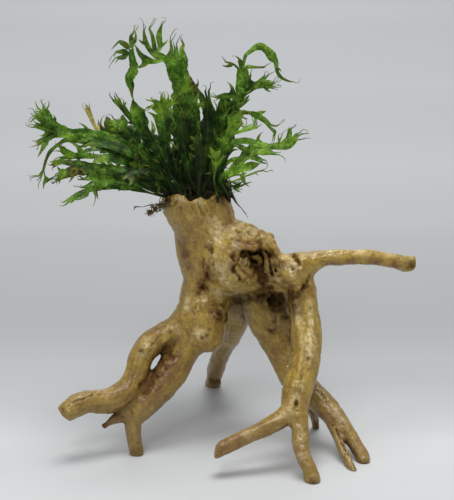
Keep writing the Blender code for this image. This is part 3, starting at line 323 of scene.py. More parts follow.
GREENISH = [
    (273, 266, 4, 1), (276, 276, 3.5, 0.8), (246, 263, 3, 1), (268, 274, 3, 0.8), (406, 262, 4, 0.5),
    (168, 204, 5, 0.4), (57, 411, 3, 0.6), (366, 460, 4, 0.5), (306, 312, 5, 0.3), (189, 240, 6, 0.3),
    (236, 312, 7, 0.5), (246, 317, 7, 0.4), (230, 330, 9, 0.5), (219, 350, 8, 0.4), (214, 370, 6, 0.6),
    (141, 416, 5, 0.5), (190, 262, 6, 0.3), (290, 340, 4, 0.5), (262, 300, 3, 0.5), (122, 414, 4, 0.4),
    (168, 366, 4, 0.3), (318, 402, 4, 0.4),
]
# Painted highlights: wet gleams along the front root and on the tops of the trunk, knee, roots and branch
PAINTED_HIGHLIGHTS = [
    (218, 228, 4.5, 1), (219, 240, 4, 0.7), (213, 222, 4, 0.5), (146, 344, 4, 0.6), (143, 353, 3, 0.4),
    (295, 303, 2, 0.7), (296, 307, 2, 0.7), (297, 312, 2, 0.7), (298, 317, 2, 0.7), (298, 322, 2, 0.6),
    (310, 304, 2, 0.7), (311, 309, 2, 0.8), (311, 314, 2, 0.8), (312, 319, 2, 0.8), (312, 324, 2, 0.8),
    (312, 329, 2, 0.8), (311, 334, 2.4, 0.9), (310, 340, 3.4, 1), (310, 346, 4.4, 1), (309, 353, 4, 0.8),
    (302, 386, 3, 0.6), (199, 334, 4, 0.8), (291, 266, 4, 0.8), (286, 258, 3, 0.5), (236, 246, 3, 0.7),
    (232, 229, 3, 0.6), (296, 399, 3, 0.6), (288, 411, 4, 0.6), (331, 252, 4, 0.5), (361, 251, 4, 0.5),
    (387, 253, 4, 0.5), (187, 300, 3, 1), (186, 306, 3, 0.7), (335, 410, 3.5, 0.8), (342, 419, 3, 0.7),
    (303, 455, 3, 0.6), (222, 278, 3, 0.8), (222, 283, 3, 0.5), (247, 434, 4, 0.5), (255, 430, 3, 0.4),
    (198, 200, 3, 0.8), (180, 199, 3, 0.7), (204, 300, 2, 0.7), (218, 268, 3, 0.8), (226, 268, 5, 0.5),
    (219, 290, 4, 0.6), (227, 284, 5, 0.5), (214, 258, 3, 0.5), (269, 236, 2, 0.9), (237, 276, 2.5, 0.5),
    (278, 280, 2, 0.6), (292, 273, 3, 0.6), (226, 344, 6, 0.4), (234, 320, 6, 0.3), (176, 330, 5, 0.3),
    (299, 440, 4, 0.3),
]

# Lumps and cracks on the sides and the back, by their place in mm instead of column and row
FAR_LUMPS = [
    (-32.5, -2, 140, 4.5, 1), (-3, 14, 138, 5, 1.2), (-24, 13, 124, 4.5, 1), (8, 10, 118, 6, 1.2),
    (26, -2, 118, 5, 1), (34, -6, 112, 4.5, 1), (14, 14, 96, 4, 1), (-22, 7, 96, 4, 1.2), (8, 8, 106, 4, 1.4),
    (16, 2, 122, 4, 1.4), (-10, 12, 104, 5, 1.2), (44, -8, 70, 4, 0.8), (-44, -12, 62, 4, 0.8),
    (70, -12, 114, 3, 0.6), (92, -8, 112, 3, 0.6),
]
FAR_CRACKS = [
    (0.7, 0.9, [(-9, 15, 142), (-10, 15, 126), (-7, 13, 112), (-8, 10, 98)]),
    (0.7, 0.9, [(-38, -2, 140), (-34, 0, 124), (-29, -2, 110), (-27, -4, 98)]),
    (0.8, 0.9, [(17, 13, 92), (16, 19, 80), (10, 27, 66), (7, 38, 54)]),
    (0.8, 0.9, [(30, 12, 72), (38, 6, 60), (47, 0, 48), (58, -14, 37)]),
    (0.7, 0.8, [(-22, 14, 146), (-21, 15, 132), (-19, 14, 120)]),
    (0.8, 1.0, [(2, 10, 124), (12, 7, 126), (22, 2, 124)]),
    (0.6, 0.7, [(-40, -10, 66), (-50, -18, 58), (-52, -22, 46)]),
    (0.6, 0.7, [(52, -26, 92), (54, -30, 78), (53, -36, 64)]),
]

# The kinds of patches: how ragged their edges are, those in the picture and those on the sides and the back
PATCHES = {
    "red": (0.8, REDDISH, [
        (-4, 14, 120, 7, 0.6), (14, 14, 88, 8, 0.6), (44, 2, 50, 7, 0.5), (-36, 0, 130, 6, 0.5),
    ]),
    # Painted shade in the hollows, under the ledges, between the roots and at the feet
    "dark": (0.4, PAINTED_SHADE, [
        (6, 4, 100, 7, 0.5), (16, 6, 104, 6, 0.5), (-19, -4, 148, 13, 0.6), (-20, -2, 78, 5, 0.4),
    ]),
    "green": (1.0, GREENISH, [
        (-14, 14, 134, 8, 0.5), (2, 30, 66, 8, 0.5), (30, 8, 84, 8, 0.4), (-46, -14, 60, 6, 0.4),
    ]),
    # Painted highlights on the sides and the back
    "pale": (0.8, PAINTED_HIGHLIGHTS, [
        (-4, 15, 140, 6, 0.5), (8, 13, 100, 5, 0.5), (34, 12, 70, 6, 0.4), (80, -10, 118, 6, 0.4),
    ]),
}

# The worn top of the stump, in mm: the height of its front rim along x, where that rim lies, how the top
# falls towards the back, and the middle, width and depth of its dish
RIM = [
    (-41, 149), (-38.5, 151.5), (-36, 152.6), (-33, 153.4), (-28, 153.6), (-24.5, 152.8), (-22, 150),
    (-20.5, 149.4), (-18, 151.4), (-15, 152.6), (-12.5, 151.2), (-11, 150.8), (-8, 153.4), (-4.6, 153.8),
    (-1, 152), (2, 149.5),
]
RIM_FRONT = -22.0
RIM_FALL = 0.17
TOP_MIDDLE = (-19.0, -4.0)
TOP_DISH = (17.0, 3.5)

# The gnarled middle of the stump, where its surface is roughest: centre and radius in mm
GNARL = ((14.0, -26.0, 112.0), 24.0)

# Where the wood's surface is found, in mm: the grid, the corners of its space, the distance that stands for
# far away, and how far round a limb the distance to it is worked out
GRID = 0.62
WOOD_LOW = (-117.0, -95.0, -1.5)
WOOD_HIGH = (118.0, 95.0, 160.0)
FAR = 12.0
REACH = 7.0

# How many steps a path takes from one given point to the next, and how often the surface is evened out
PATH_STEPS = 4
CRACK_STEPS = 3
SKIN_ROUNDS = 3

# How far from the camera the search for the wood begins, in mm, how many steps it takes, and how long they
# may be
FIRST_LOOK = 620.0
LOOKS = 70
LOOK_STEPS = (-3.0, 6.0)

# A limb claims space only where the limbs before it are farther away than this, in mm
CLAIM_GAP = 0.5

# How widely shapes run into each other, in mm: cut ends, lumps, ridges, hollows and the rim
CUT_ROUNDING = 1.4
LUMP_FILLET = 1.8
RIDGE_FILLET = 1.4
HOLLOW_ROUNDING = 0.9
RIM_ROUNDING = 2.0
LUMP_REACH = 4
HOLLOW_REACH = 3
RIM_BOX = ((-46, -32, 138), (8, 24, 160))

# The noises of the wood: the size of a cell in mm, the seed and the octaves
NOISE_CELLS = 256
NOISE_GAIN = 1.6
HOLLOW_GRAIN = (2.4, 15, 2)
SWELLS = (13, 11, 2)
BULGES = (4.6, 21, 3)
FOLDS = ((4.2, 5.5, 6.5), 25, 2)
GRAIN = (2.1, 31, 2)
DENTS = (3.4, 33, 2)
PATCH_NOISE = (3.2, 71, 3)
MOTTLE = (9, 81, 3)
CRACK_GAPS = (2.6, 64, 1)
CRACK_SWAY = [(2.3, 61, 1), (2.3, 62, 1), (2.3, 63, 1)]
HOLLOW_ROUGHNESS = 0.3

# How high each of them stands, in mm; for bulges and fibres the height on plain wood, and what the gnarl adds
SWELL_HEIGHT = 0.5
BULGE_HEIGHTS = (0.2, 0.5)
FOLD_HEIGHT = 0.8
FIBRE_HEIGHTS = (0.36, -0.1)
GRAIN_HEIGHT = 0.17
DENT_DEPTH = 0.16
FOOT_EASE = 1.5

# Cracks: how far they wander off their line and how far beside it they are worked out, in mm, and the share of
# that wandering which the pits have
CRACK_WANDER = 0.7
CRACK_MARGIN = 6
PIT_WANDER = 0.6

# Fibres: cells per mm across and along a limb, how they twist round it, the first seed, and how widely those
# of two limbs run together, in mm
FIBRE_CELLS = (0.34, 0.34, 0.035)
FIBRE_TWIST = 0.25
FIBRE_SEED = 40
FIBRE_BLEND = 1.6

# How far out from the surface its hollows are felt for the painted shade in them, in mm: near it, and farther
# off
OPEN_REACH = 3.0
SHELTER_REACH = 6.5

# The floor: half its side, how its colour leans from grey, and its tone by how far back it lies, in metres,
# darker just behind the object as painted shade
FLOOR_SIDE = 9.0
FLOOR_TINT = (0.985, 1.0, 1.01)
FLOOR_TONES = [
    (-0.2, 0.5), (-0.07, 0.51), (-0.02, 0.54), (0.03, 0.44), (0.08, 0.395), (0.14, 0.375), (0.19, 0.345),
    (0.24, 0.335), (0.3, 0.345), (0.44, 0.378), (0.53, 0.402), (0.63, 0.45), (0.74, 0.473), (0.87, 0.52),
    (1.0, 0.56), (2.0, 0.68), (3.6, 0.615), (4.1, 0.63), (4.75, 0.68), (5.6, 0.76), (6.5, 0.86),
]

# The lamps: place, aim and size in metres, and power; then the pale light of the room
LAMPS = [
    ("overhead", (0.05, -0.05, 1.6), (0, 0, 0.1), (1.1, 0.7), 21.0),
    ("front", (-0.25, -1.0, 1.05), (0, 0, 0.1), (0.4, 0.3), 5.0),
    ("backdrop", (0, 4, 3), (0, 4, 0), (3, 3), 53.0),
]
ROOM_COLOUR = (0.94, 0.97, 1.0, 1.0)
ROOM_LIGHT = 0.42

# Each frond: the way its blade faces, the sections of the blade from its foot (x, y, z and width, in mm), and
# the sections of the lobes into which its end divides
FRONDS = {
    "frond_far_left": {
        "facing": (-0.2, -0.9, 0.4),
        "blade": [
            (-29, -14, 151, 1.5), (-35.5, -19, 164.5, 2.5), (-49.5, -24, 177.5, 4.5),
            (-63.5, -28, 186.5, 6.5), (-77.5, -31, 190.5, 6.5), (-88.5, -33, 191.5, 6),
            (-96, -34, 193, 8),
        ],
        "lobes": [
            [
                (-99.5, -34, 190, 3), (-103, -35, 188, 3), (-106.5, -36, 186.5, 2.5),
                (-109.5, -36, 184.5, 1),
            ],
            [(-103, -35, 194.5, 2.5), (-107.5, -36, 196.5, 2.5), (-111.5, -37, 196, 1)],
            [(-103.5, -36, 199, 3), (-106.5, -38, 203, 2.5), (-108.5, -39, 206, 1)],
            [(-100.5, -36, 200, 4.5), (-102.5, -37, 205.5, 3.5), (-104, -38, 210.5, 1)],
        ],
    },
    "frond_arching_left": {
        "facing": (-0.3, -0.9, 0.3),
        "blade": [
            (-31, -10, 150, 1.5), (-39, -14, 162, 2), (-53, -18, 173.5, 3), (-67, -22, 180.5, 3),
            (-81, -26, 185.5, 3), (-90.5, -28, 187, 3), (-96.5, -28, 184, 2.5), (-101, -28, 180, 2.5),
            (-103.5, -28, 175.5, 2), (-105.5, -27, 169, 1.5),
        ],
        "lobes": [
            [(-104, -27, 163.5, 1), (-100.5, -28, 164.5, 1), (-97.5, -28, 166.5, 0.5)],
            [(-107, -27, 165, 1), (-108.5, -27, 161, 0.5)],
            [(-108, -28, 166, 1), (-112.5, -29, 165, 0.5)],
        ],
    },
    "frond_curly_left": {
        "facing": (0.1, -0.8, 0.6),
        "blade": [
            (-30, -6, 149.5, 1.5), (-40.5, -8, 160, 2), (-55.5, -11, 169, 3), (-69, -14, 173.5, 3.5),
            (-80.5, -17, 176, 3.5), (-87.5, -18, 176, 4), (-92, -19, 176.5, 5),
        ],
        "lobes": [
            [(-96, -19, 175, 1.5), (-99.5, -20, 174.5, 1)],
            [(-94.5, -20, 180, 3.5), (-96.5, -21, 182.5, 1.5)],
        ],
    },
    "frond_brown_tip": {
        "facing": (0, -0.85, 0.5),
        "blade": [
            (-32, -3, 149, 1.5), (-42.5, -4, 157, 2), (-57, -4, 163.5, 3), (-69, -5, 166.5, 3.5),
            (-79.5, -6, 168, 3), (-86.5, -7, 169.5, 4), (-92, -8, 170, 3), (-97.5, -9, 171, 3),
            (-102, -9, 169.5, 3.5), (-104, -9, 169, 1),
        ],
        "lobes": [],
    },
    "frond_brown_low": {
        "facing": (0, -0.8, 0.6),
        "blade": [
            (-34, -6, 149.5, 1.5), (-42, -10, 155.5, 2), (-55.5, -12, 160.5, 3.5), (-67, -13, 164, 4.5),
            (-77, -13, 165.5, 5.5), (-84, -13, 165.5, 4.5), (-90.5, -14, 165.5, 4.5),
        ],
        "lobes": [
            [(-96, -14, 163, 2.5), (-99.5, -15, 161, 1.5), (-101, -15, 159.5, 0.5)],
            [(-96.5, -13, 166, 2), (-100, -13, 164.5, 1)],
        ],
    },
    "frond_dying": {
        "facing": (0.3, -0.9, 0.2),
        "blade": [
            (-27, 2, 148, 1.5), (-40, 6, 162.5, 2), (-55, 10, 171.5, 2.5), (-70, 12, 179, 2.5),
            (-77.5, 13, 186, 2), (-80.5, 14, 192, 2.5), (-83.5, 14, 199.5, 3.5), (-84.5, 14, 202.5, 2.5),
        ],
        "lobes": [],
    },
    "frond_leaf_left": {
        "facing": (-0.2, -0.95, 0.2),
        "blade": [
            (-26, -1, 148.5, 1.5), (-34.5, 0, 163.5, 2), (-44.5, 2, 171.5, 5), (-53.5, 4, 178, 8),
            (-61, 5, 183.5, 9), (-67, 6, 188.5, 8), (-70.5, 7, 192.5, 4), (-71.5, 7, 196, 1),
        ],
        "lobes": [],
    },
    "frond_forked_left": {
        "facing": (0.2, -0.95, 0.1),
        "blade": [
            (-24, -5, 149, 1.5), (-35.5, -5, 168.5, 2), (-45.5, -5, 181, 2.5), (-52, -5, 191.5, 3),
            (-57.5, -6, 198.5, 3), (-61, -6, 203.5, 3.5),
        ],
        "lobes": [
            [(-65, -7, 207, 2), (-68, -8, 210.5, 1.5)],
            [(-63, -6, 207, 2), (-64.5, -6, 211, 1)],
            [(-59.5, -5, 205, 1.5), (-60, -5, 206.5, 1)],
        ],
    },
    "frond_left_upper_mid": {
        "facing": (0.1, -0.8, 0.6),
        "blade": [
            (-28, -18, 151.5, 1.5), (-38, -24, 168, 1.5), (-46.5, -30, 175.5, 4.5), (-54.5, -35, 181, 6.5),
            (-63.5, -38, 184.5, 6), (-71, -40, 186.5, 5), (-76.5, -41, 186.5, 3), (-80, -42, 185.5, 1),
        ],
        "lobes": [],
    },
    "frond_left_mid": {
        "facing": (-0.1, -0.85, 0.5),
        "blade": [
            (-32, -15, 151, 1.5), (-39.5, -22, 162.5, 1.5), (-48.5, -30, 171, 4.5), (-56, -36, 176, 7),
            (-63.5, -41, 178.5, 7), (-68.5, -44, 179, 5), (-72.5, -46, 178, 3.5), (-75, -47, 176.5, 1),
        ],
        "lobes": [],
    },
    "frond_left_lower_mid": {
        "facing": (0.1, -0.75, 0.65),
        "blade": [
            (-35, -2, 148.5, 1.5), (-42.5, 0, 151, 1.5), (-51.5, 2, 157, 3.5), (-61.5, 4, 160, 6),
            (-71, 5, 162, 7), (-78.5, 6, 163, 6), (-84.5, 7, 162.5, 3), (-87.5, 7, 162, 1),
        ],
        "lobes": [],
    },
    "frond_left_low": {
        "facing": (0, -0.7, 0.7),
        "blade": [
            (-35, -17, 151.5, 1.5), (-43, -25, 156.5, 1.5), (-49.5, -31, 160.5, 3), (-57, -37, 163.5, 4.5),
            (-64.5, -43, 165.5, 4.5), (-70.5, -47, 167, 4.5), (-74, -50, 167, 6),
        ],
        "lobes": [
            [(-73.5, -51, 162, 2), (-72.5, -52, 159, 1.5), (-73.5, -52, 156, 0.5)],
            [(-76.5, -52, 165, 2), (-80, -53, 164, 1), (-82, -54, 164.5, 0.5)],
            [(-77, -52, 168.5, 2), (-80, -53, 169, 1), (-82, -54, 170.5, 0.5)],
        ],
    },
    "frond_left_lowest": {
        "facing": (-0.1, -0.8, 0.55),
        "blade": [
            (-36, -12, 150.5, 1.5), (-43.5, -17, 153.5, 1), (-49.5, -20, 156, 2.5), (-57.5, -24, 158.5, 4),
            (-66, -28, 160, 4), (-73, -31, 160, 4), (-79.5, -33, 158.5, 3.5), (-84.5, -35, 156.5, 4),
            (-87.5, -36, 154.5, 4),
        ],
        "lobes": [
            [(-89, -36, 151.5, 1.5)],
            [(-89.5, -37, 153.5, 2.5), (-92, -38, 151, 1)],
        ],
    },
    "frond_centre_broad": {
        "facing": (0.25, -0.95, 0.1),
        "blade": [
            (-13, -17, 151.5, 1.5), (-21, -19, 163, 4), (-22.5, -21, 174, 7), (-24.5, -22, 183, 8.5),
            (-25.5, -23, 190.5, 8.5), (-26, -24, 198, 6.5), (-25, -25, 204.5, 1.5),
        ],
        "lobes": [],
    },
    "frond_top_blade": {
        "facing": (-0.15, -0.98, 0.1),
        "blade": [
            (-16, -6, 149.5, 1.5), (-26, -6, 162.5, 2.5), (-27, -6, 177.5, 5.5), (-26.5, -6, 195.5, 8),
            (-25.5, -7, 209, 11.5), (-27, -8, 219, 12.5), (-28, -9, 226.5, 11.5), (-28.5, -9, 232, 10.5),
        ],
        "lobes": [
            [(-31.5, -10, 236.5, 2), (-32, -10, 241.5, 1), (-30, -11, 247.5, 0.5)],
            [(-29, -8, 237.5, 2), (-27.5, -8, 242.5, 0.5)],
            [(-25.5, -9, 236.5, 2.5), (-24.5, -9, 239.5, 1.5), (-25.5, -9, 243, 0.5)],
        ],
    },
    "frond_top_hand": {
        "facing": (0.1, -0.98, 0),
        "blade": [
            (-15, 2, 148, 1.5), (-29, 3, 161, 2.5), (-29.5, 4, 179, 3.5), (-29, 5, 197, 5),
            (-29, 6, 213, 5), (-31.5, 6, 224.5, 4.5), (-36, 5, 230, 4.5), (-40.5, 4, 231, 6),
        ],
        "lobes": [
            [(-45.5, 2, 229.5, 3.5), (-50, 0, 233, 2.5), (-52.5, -1, 237.5, 1), (-53.5, -1, 240.5, 0.5)],
            [(-44, 3, 234.5, 2.5), (-47, 2, 240, 2.5), (-48, 2, 245.5, 1.5), (-48.5, 1, 252, 0.5)],
            [(-42, 5, 236, 2.5), (-43, 5, 242.5, 2), (-45, 4, 248, 1), (-42, 4, 253.5, 0.5)],
            [(-39, 7, 237, 2.5), (-39.5, 8, 243.5, 3), (-38.5, 8, 248, 1.5), (-35.5, 9, 252.5, 0.5)],
        ],
    },
    "frond_tall_twisted": {
        "facing": (-0.35, -0.9, 0),
        "blade": [
            (-22, -9, 150, 1.5), (-34.5, -9, 165, 2), (-40.5, -9, 177, 3), (-44, -9, 184, 4),
            (-48, -10, 190.5, 6), (-49.5, -11, 196.5, 9), (-51.5, -11, 201, 8.5), (-53, -11, 205, 5.5),
            (-54.5, -12, 211, 2.5), (-55, -12, 216, 3.5), (-56.5, -12, 220, 5), (-54.5, -13, 223.5, 5),
            (-53.5, -13, 227.5, 4.5), (-54, -13, 231.5, 4), (-55, -14, 236, 3.5),
        ],
        "lobes": [
            [(-58.5, -15, 233, 2.5), (-62, -15, 232.5, 1.5), (-65.5, -15, 230, 0.5)],
            [(-58.5, -15, 236, 2.5), (-63, -16, 236, 1), (-65.5, -16, 233.5, 0.5)],
            [(-58, -15, 240, 3), (-61, -16, 242, 1.5), (-64, -17, 239.5, 0.5)],
            [(-54.5, -13, 241, 2.5), (-54.5, -13, 245, 1.5), (-52.5, -13, 250.5, 0.5)],
        ],
    },
    "frond_lacy_crest": {
        "facing": (-0.3, -0.9, 0.2),
        "blade": [
            (-21, -15, 151, 1.5), (-32, -20, 164.5, 2.5), (-34, -24, 177.5, 5), (-35, -27, 189.5, 7),
            (-35.5, -29, 199.5, 7.5), (-36.5, -30, 205, 9.5),
        ],
        "lobes": [
            [(-41.5, -31, 207.5, 3), (-46, -32, 204.5, 0.5)],
            [(-39, -32, 209.5, 3.5), (-42.5, -33, 211.5, 1)],
            [(-35, -33, 211, 3.5), (-35.5, -34, 214, 1.5)],
            [(-31, -32, 209.5, 3.5), (-28, -33, 212.5, 1)],
        ],
    },
    "frond_small_tip": {
        "facing": (0.5, -0.85, 0),
        "blade": [
            (-22, 4, 147.5, 1.5), (-33, 6, 162.5, 1.5), (-37.5, 8, 176.5, 2.5), (-40, 8.5, 187, 2.5),
            (-42, 8, 193, 1.5), (-44.5, 8, 197.5, 0.5),
        ],
        "lobes": [],
    },
    "frond_mid_lacy": {
        "facing": (0.2, -0.95, 0.2),
        "blade": [
            (-11, -13, 150.5, 1.5), (-19.5, -15, 166, 2.5), (-21, -16, 179, 4.5), (-22, -17, 191, 6),
            (-22.5, -17, 200.5, 6.5),
        ],
        "lobes": [
            [(-27, -18, 206.5, 2.5), (-31, -18, 207.5, 1)],
            [(-25, -18, 209, 3), (-27.5, -19, 212, 1)],
            [(-20.5, -18, 210, 3), (-21.5, -19, 214, 1)],
        ],
    },
    "frond_curved_mid": {
        "facing": (0.4, -0.9, 0),
        "blade": [
            (-8, -1, 148.5, 1.5), (-15.5, 1, 164.5, 2), (-14, 3, 177.5, 3), (-12, 5, 191, 4),
            (-12, 6, 200.5, 4.5), (-14.5, 6, 207, 4.5), (-18, 6, 211.5, 4), (-20, 6, 216, 2.5),
            (-21.5, 6, 219.5, 1.5),
        ],
        "lobes": [],
    },
    "frond_upright_dark": {
        "facing": (-0.2, -0.97, 0),
        "blade": [
            (-8.5, -11, 150.5, 1.5), (-12.5, -12, 165.5, 2.5), (-11.5, -13, 175.5, 4),
            (-11, -14, 184.5, 7), (-10.5, -14, 192.5, 8.5), (-10.5, -14, 200, 7.5), (-10.5, -14, 206, 5),
            (-10.5, -14, 209.5, 2.5),
        ],
        "lobes": [
            [(-12, -14, 213, 1), (-11.5, -14, 215.5, 0.5)],
            [(-10, -14, 213.5, 1), (-9, -14, 217.5, 0.5)],
        ],
    },
    "frond_bright_mid": {
        "facing": (-0.4, -0.9, 0),
        "blade": [
            (-11, -5, 149, 1.5), (-18, -4, 164, 2), (-18.5, -3, 177, 3), (-19.5, -2, 189, 3.5),
            (-19.5, -1, 197.5, 4), (-17, -1, 203.5, 4.5), (-13.5, -1, 205, 2),
        ],
        "lobes": [],
    },
    "frond_side_light": {
        "facing": (0.3, -0.9, 0.3),
        "blade": [
            (-6, -1.5, 148.5, 1.5), (-8, 1, 161.5, 2), (-2.5, 3.5, 176, 2.5), (3.5, 4, 191, 3),
            (7, 5, 201.5, 3), (5.5, 5, 207.5, 3.5), (0, 4, 208.5, 3.5), (-5.5, 3, 207.5, 2.5),
            (-9, 2, 208.5, 1),
        ],
        "lobes": [],
    },
    "frond_tall_right": {
        "facing": (-0.2, -0.97, 0),
        "blade": [
            (-6, 2.5, 148, 1.5), (-8, 5.5, 162.5, 2.5), (-2.5, 8, 177, 3.5), (2.5, 11, 190.5, 5),
            (6, 13, 201.5, 5), (8, 14, 209.5, 5.5), (9.5, 15, 217, 6.5), (9.5, 16, 223.5, 5.5),
        ],
        "lobes": [
            [(4, 14, 226.5, 1), (0, 13, 227.5, 1), (-2, 13, 230, 0.5)],
            [(8.5, 15, 228, 3), (7, 15, 230, 1.5)],
            [
                (11.5, 16, 230.5, 2), (14.5, 17, 233.5, 2.5), (17.5, 18, 235.5, 3.5),
                (20.5, 18, 236.5, 4.5), (24, 18, 234.5, 4), (27.5, 18, 230.5, 5.5), (30, 18, 227, 3),
                (30.5, 18, 222.5, 2), (33, 18, 218, 2), (38, 18, 215.5, 1), (43, 18, 214.5, 0.5),
            ],
            [(13, 16, 224.5, 2.5), (18, 17, 224, 1.5), (23, 18, 224, 1), (26, 18, 226, 0.5)],
        ],
    },
    "frond_right_low_branch": {
        "facing": (0.3, -0.9, 0.2),
        "blade": [
            (-6, 7, 146.5, 1.5), (-6.5, 10, 161.5, 2), (-0.5, 14, 175.5, 2.5), (3.5, 18, 189.5, 3),
            (6.5, 20, 201, 3), (11, 22, 207.5, 3.5), (18, 23, 212, 3.5),
        ],
        "lobes": [
            [(23.5, 24, 216.5, 2.5), (29, 25, 220.5, 1.5)],
            [(23.5, 25, 213, 2.5), (28.5, 26, 213, 1.5), (33, 27, 215, 0.5)],
            [(23.5, 24, 211.5, 1), (28.5, 24, 211, 1), (33, 24, 212.5, 0.5)],
        ],
    },
    "frond_thin_arch_right": {
        "facing": (0, -0.9, 0.4),
        "blade": [
            (-3, -11.5, 150.5, 1.5), (-6.5, -8, 166, 2), (-2, -6, 179, 2.5), (3.5, -3, 192.5, 2.5),
            (9, -2, 199.5, 2), (13, -2, 199.5, 1.5), (17, -2, 198, 3.5), (22, -3, 195.5, 3),
            (26, -3, 191.5, 2.5),
        ],
        "lobes": [
            [(29.5, -4, 191.5, 1), (34, -4, 195.5, 0.5)],
            [(29, -4, 188, 2), (28.5, -4, 182.5, 1)],
        ],
    },
    "frond_pale_right": {
        "facing": (0.2, -0.9, 0.3),
        "blade": [
            (0, -2, 148.5, 1.5), (-5.5, 0, 164.5, 1.5), (-3, 1, 176.5, 2), (1, 2, 184, 2),
            (7, 2, 187, 2), (13, 2, 188.5, 2), (17.5, 2, 190.5, 3),
        ],
        "lobes": [
            [(15.5, 2, 195.5, 1)],
            [(19, 2, 193.5, 2)],
            [(21.5, 2, 192, 1)],
        ],
    },
    "frond_dark_arch_right": {
        "facing": (0.1, -0.9, 0.4),
        "blade": [
            (1, -9, 150, 1.5), (-5.5, -12, 163.5, 2), (-1.5, -13, 174, 3.5), (3.5, -14, 182, 4.5),
            (10, -15, 184.5, 4), (17, -16, 183.5, 3.5), (24, -17, 181.5, 4), (30.5, -18, 182, 5),
        ],
        "lobes": [
            [(31, -19, 186, 1.5), (33, -19, 189.5, 0.5)],
            [(36, -19, 186, 2.5), (37, -19, 192, 1.5), (40.5, -19, 194, 0.5)],
            [(36.5, -19, 183.5, 2.5), (41, -19, 188.5, 1.5), (44.5, -19, 191.5, 0.5)],
            [(36.5, -19, 181.5, 2), (41, -19, 186, 1.5), (47, -19, 189.5, 0.5)],
        ],
    },
    "frond_lobed_right": {
        "facing": (0.1, -0.85, 0.5),
        "blade": [
            (2, -13, 150.5, 1.5), (-4, -18, 161.5, 2), (-1.5, -21, 169.5, 2), (3, -24, 174.5, 2.5),
            (8.5, -26, 176, 3), (13.5, -27, 177.5, 3.5),
        ],
        "lobes": [
            [(11.5, -28, 181, 3.5), (8, -29, 183, 3), (5, -29, 183.5, 1)],
            [(17.5, -28, 180, 3), (23, -28, 180, 3.5), (28, -29, 179, 1.5), (33, -29, 177, 0.5)],
            [(18, -28, 176, 3), (20.5, -29, 175, 2.5), (23.5, -29, 173.5, 1)],
        ],
    },
    "frond_bright_right": {
        "facing": (0.2, -0.8, 0.55),
        "blade": [
            (2, -17, 151.5, 1.5), (-3, -23, 162, 2.5), (0.5, -27, 167, 5), (6, -31, 170, 7),
            (11.5, -34, 172, 6), (16, -36, 173.5, 4), (19.5, -38, 175, 1),
        ],
        "lobes": [],
    },
    "frond_stipe_right": {
        "facing": (0, -0.9, 0.4),
        "blade": [
            (0.5, -10, 157.5, 1), (-0.5, -14, 161, 1), (3.5, -15, 163.5, 1), (7.5, -16, 164.5, 1),
            (10.5, -17, 163.5, 1), (11.5, -18, 159.5, 1),
        ],
        "lobes": [],
    },
    "frond_stipe_right_far": {
        "facing": (0, -0.9, 0.4),
        "blade": [
            (-5, -5, 159, 1), (0, -5, 157.5, 1), (6, -4, 159, 1), (12, -3, 161.5, 1), (18, -2, 163.5, 1.5),
        ],
        "lobes": [
            [(22, -1, 164.5, 1), (27, 0, 164.5, 1)],
            [(19, -2, 161.5, 1)],
        ],
    },
    "frond_young_right": {
        "facing": (0, -0.9, 0.4),
        "blade": [
            (2.5, -11, 155.5, 1), (0, -20, 160, 1), (3.5, -22, 159, 1.5), (7.5, -24, 159, 1.5),
            (11.5, -26, 161, 1), (15, -28, 162.5, 1),
        ],
        "lobes": [],
    },
    "frond_bright_crest_right": {
        "facing": (0.35, -0.9, 0.2),
        "blade": [
            (-2, -12, 150.5, 1.5), (-7.5, -16, 164.5, 2), (-3.5, -20, 177, 2.5), (0, -23, 186, 4.5),
            (3, -26, 193.5, 5.5),
        ],
        "lobes": [
            [(2.5, -27, 199.5, 2.5), (4, -28, 202.5, 1)],
            [(5.5, -28, 199.5, 2.5), (8, -29, 202.5, 1)],
            [(6.5, -27, 195.5, 2), (10, -28, 195, 0.5)],
        ],
    },
    "frond_folded_light": {
        "facing": (-0.3, -0.9, 0.2),
        "blade": [
            (-5, -18, 151.5, 1.5), (-7, -23, 162.5, 1), (-6, -25, 169, 1), (-5.5, -26, 174.5, 2),
            (-7.5, -27, 179, 3.5), (-9, -27, 182.5, 2.5),
        ],
        "lobes": [],
    },
    "frond_back_left_low": {
        "facing": (0, -0.2, 1),
        "blade": [
            (-32, 8, 147, 1.5), (-44, 18, 158, 4), (-60, 28, 166, 9), (-76, 38, 170, 10), (-90, 46, 168, 6),
            (-99, 52, 164, 1.5),
        ],
        "lobes": [],
    },
    "frond_back_left": {
        "facing": (-0.3, -0.5, 0.8),
        "blade": [
            (-24, 9, 147, 1.5), (-32, 24, 162, 4), (-44, 40, 174, 9), (-56, 55, 180, 10), (-66, 68, 180, 6),
            (-72, 76, 177, 1.5),
        ],
        "lobes": [],
    },
    "frond_back_centre_left": {
        "facing": (-0.5, -0.7, 0.5),
        "blade": [
            (-19, 13, 146, 1.5), (-22, 28, 166, 4), (-29, 44, 180, 9), (-35, 59, 188, 11),
            (-40, 72, 190, 6), (-42, 80, 188, 1.5),
        ],
        "lobes": [],
    },
    "frond_back_tall": {
        "facing": (-0.4, -0.85, 0.3),
        "blade": [
            (-14, 8, 147, 1.5), (-16, 20, 172, 4), (-21, 34, 194, 9), (-26, 46, 209, 10), (-30, 55, 218, 6),
            (-31, 61, 222, 1.5),
        ],
        "lobes": [],
    },
    "frond_back_right": {
        "facing": (0.5, -0.7, 0.5),
        "blade": [
            (-7, 8, 147, 1.5), (-3, 20, 168, 4), (2, 36, 183, 8), (6, 51, 191, 10), (9, 64, 192, 6),
            (10, 72, 190, 1.5),
        ],
        "lobes": [],
    },
    "frond_back_low": {
        "facing": (0.1, 0, 1),
        "blade": [
            (-11, 13, 146, 1.5), (-9, 30, 157, 4), (-7, 48, 160, 9), (-5, 64, 157, 10), (-4, 77, 150, 5),
            (-3, 85, 144, 1.5),
        ],
        "lobes": [],
    },
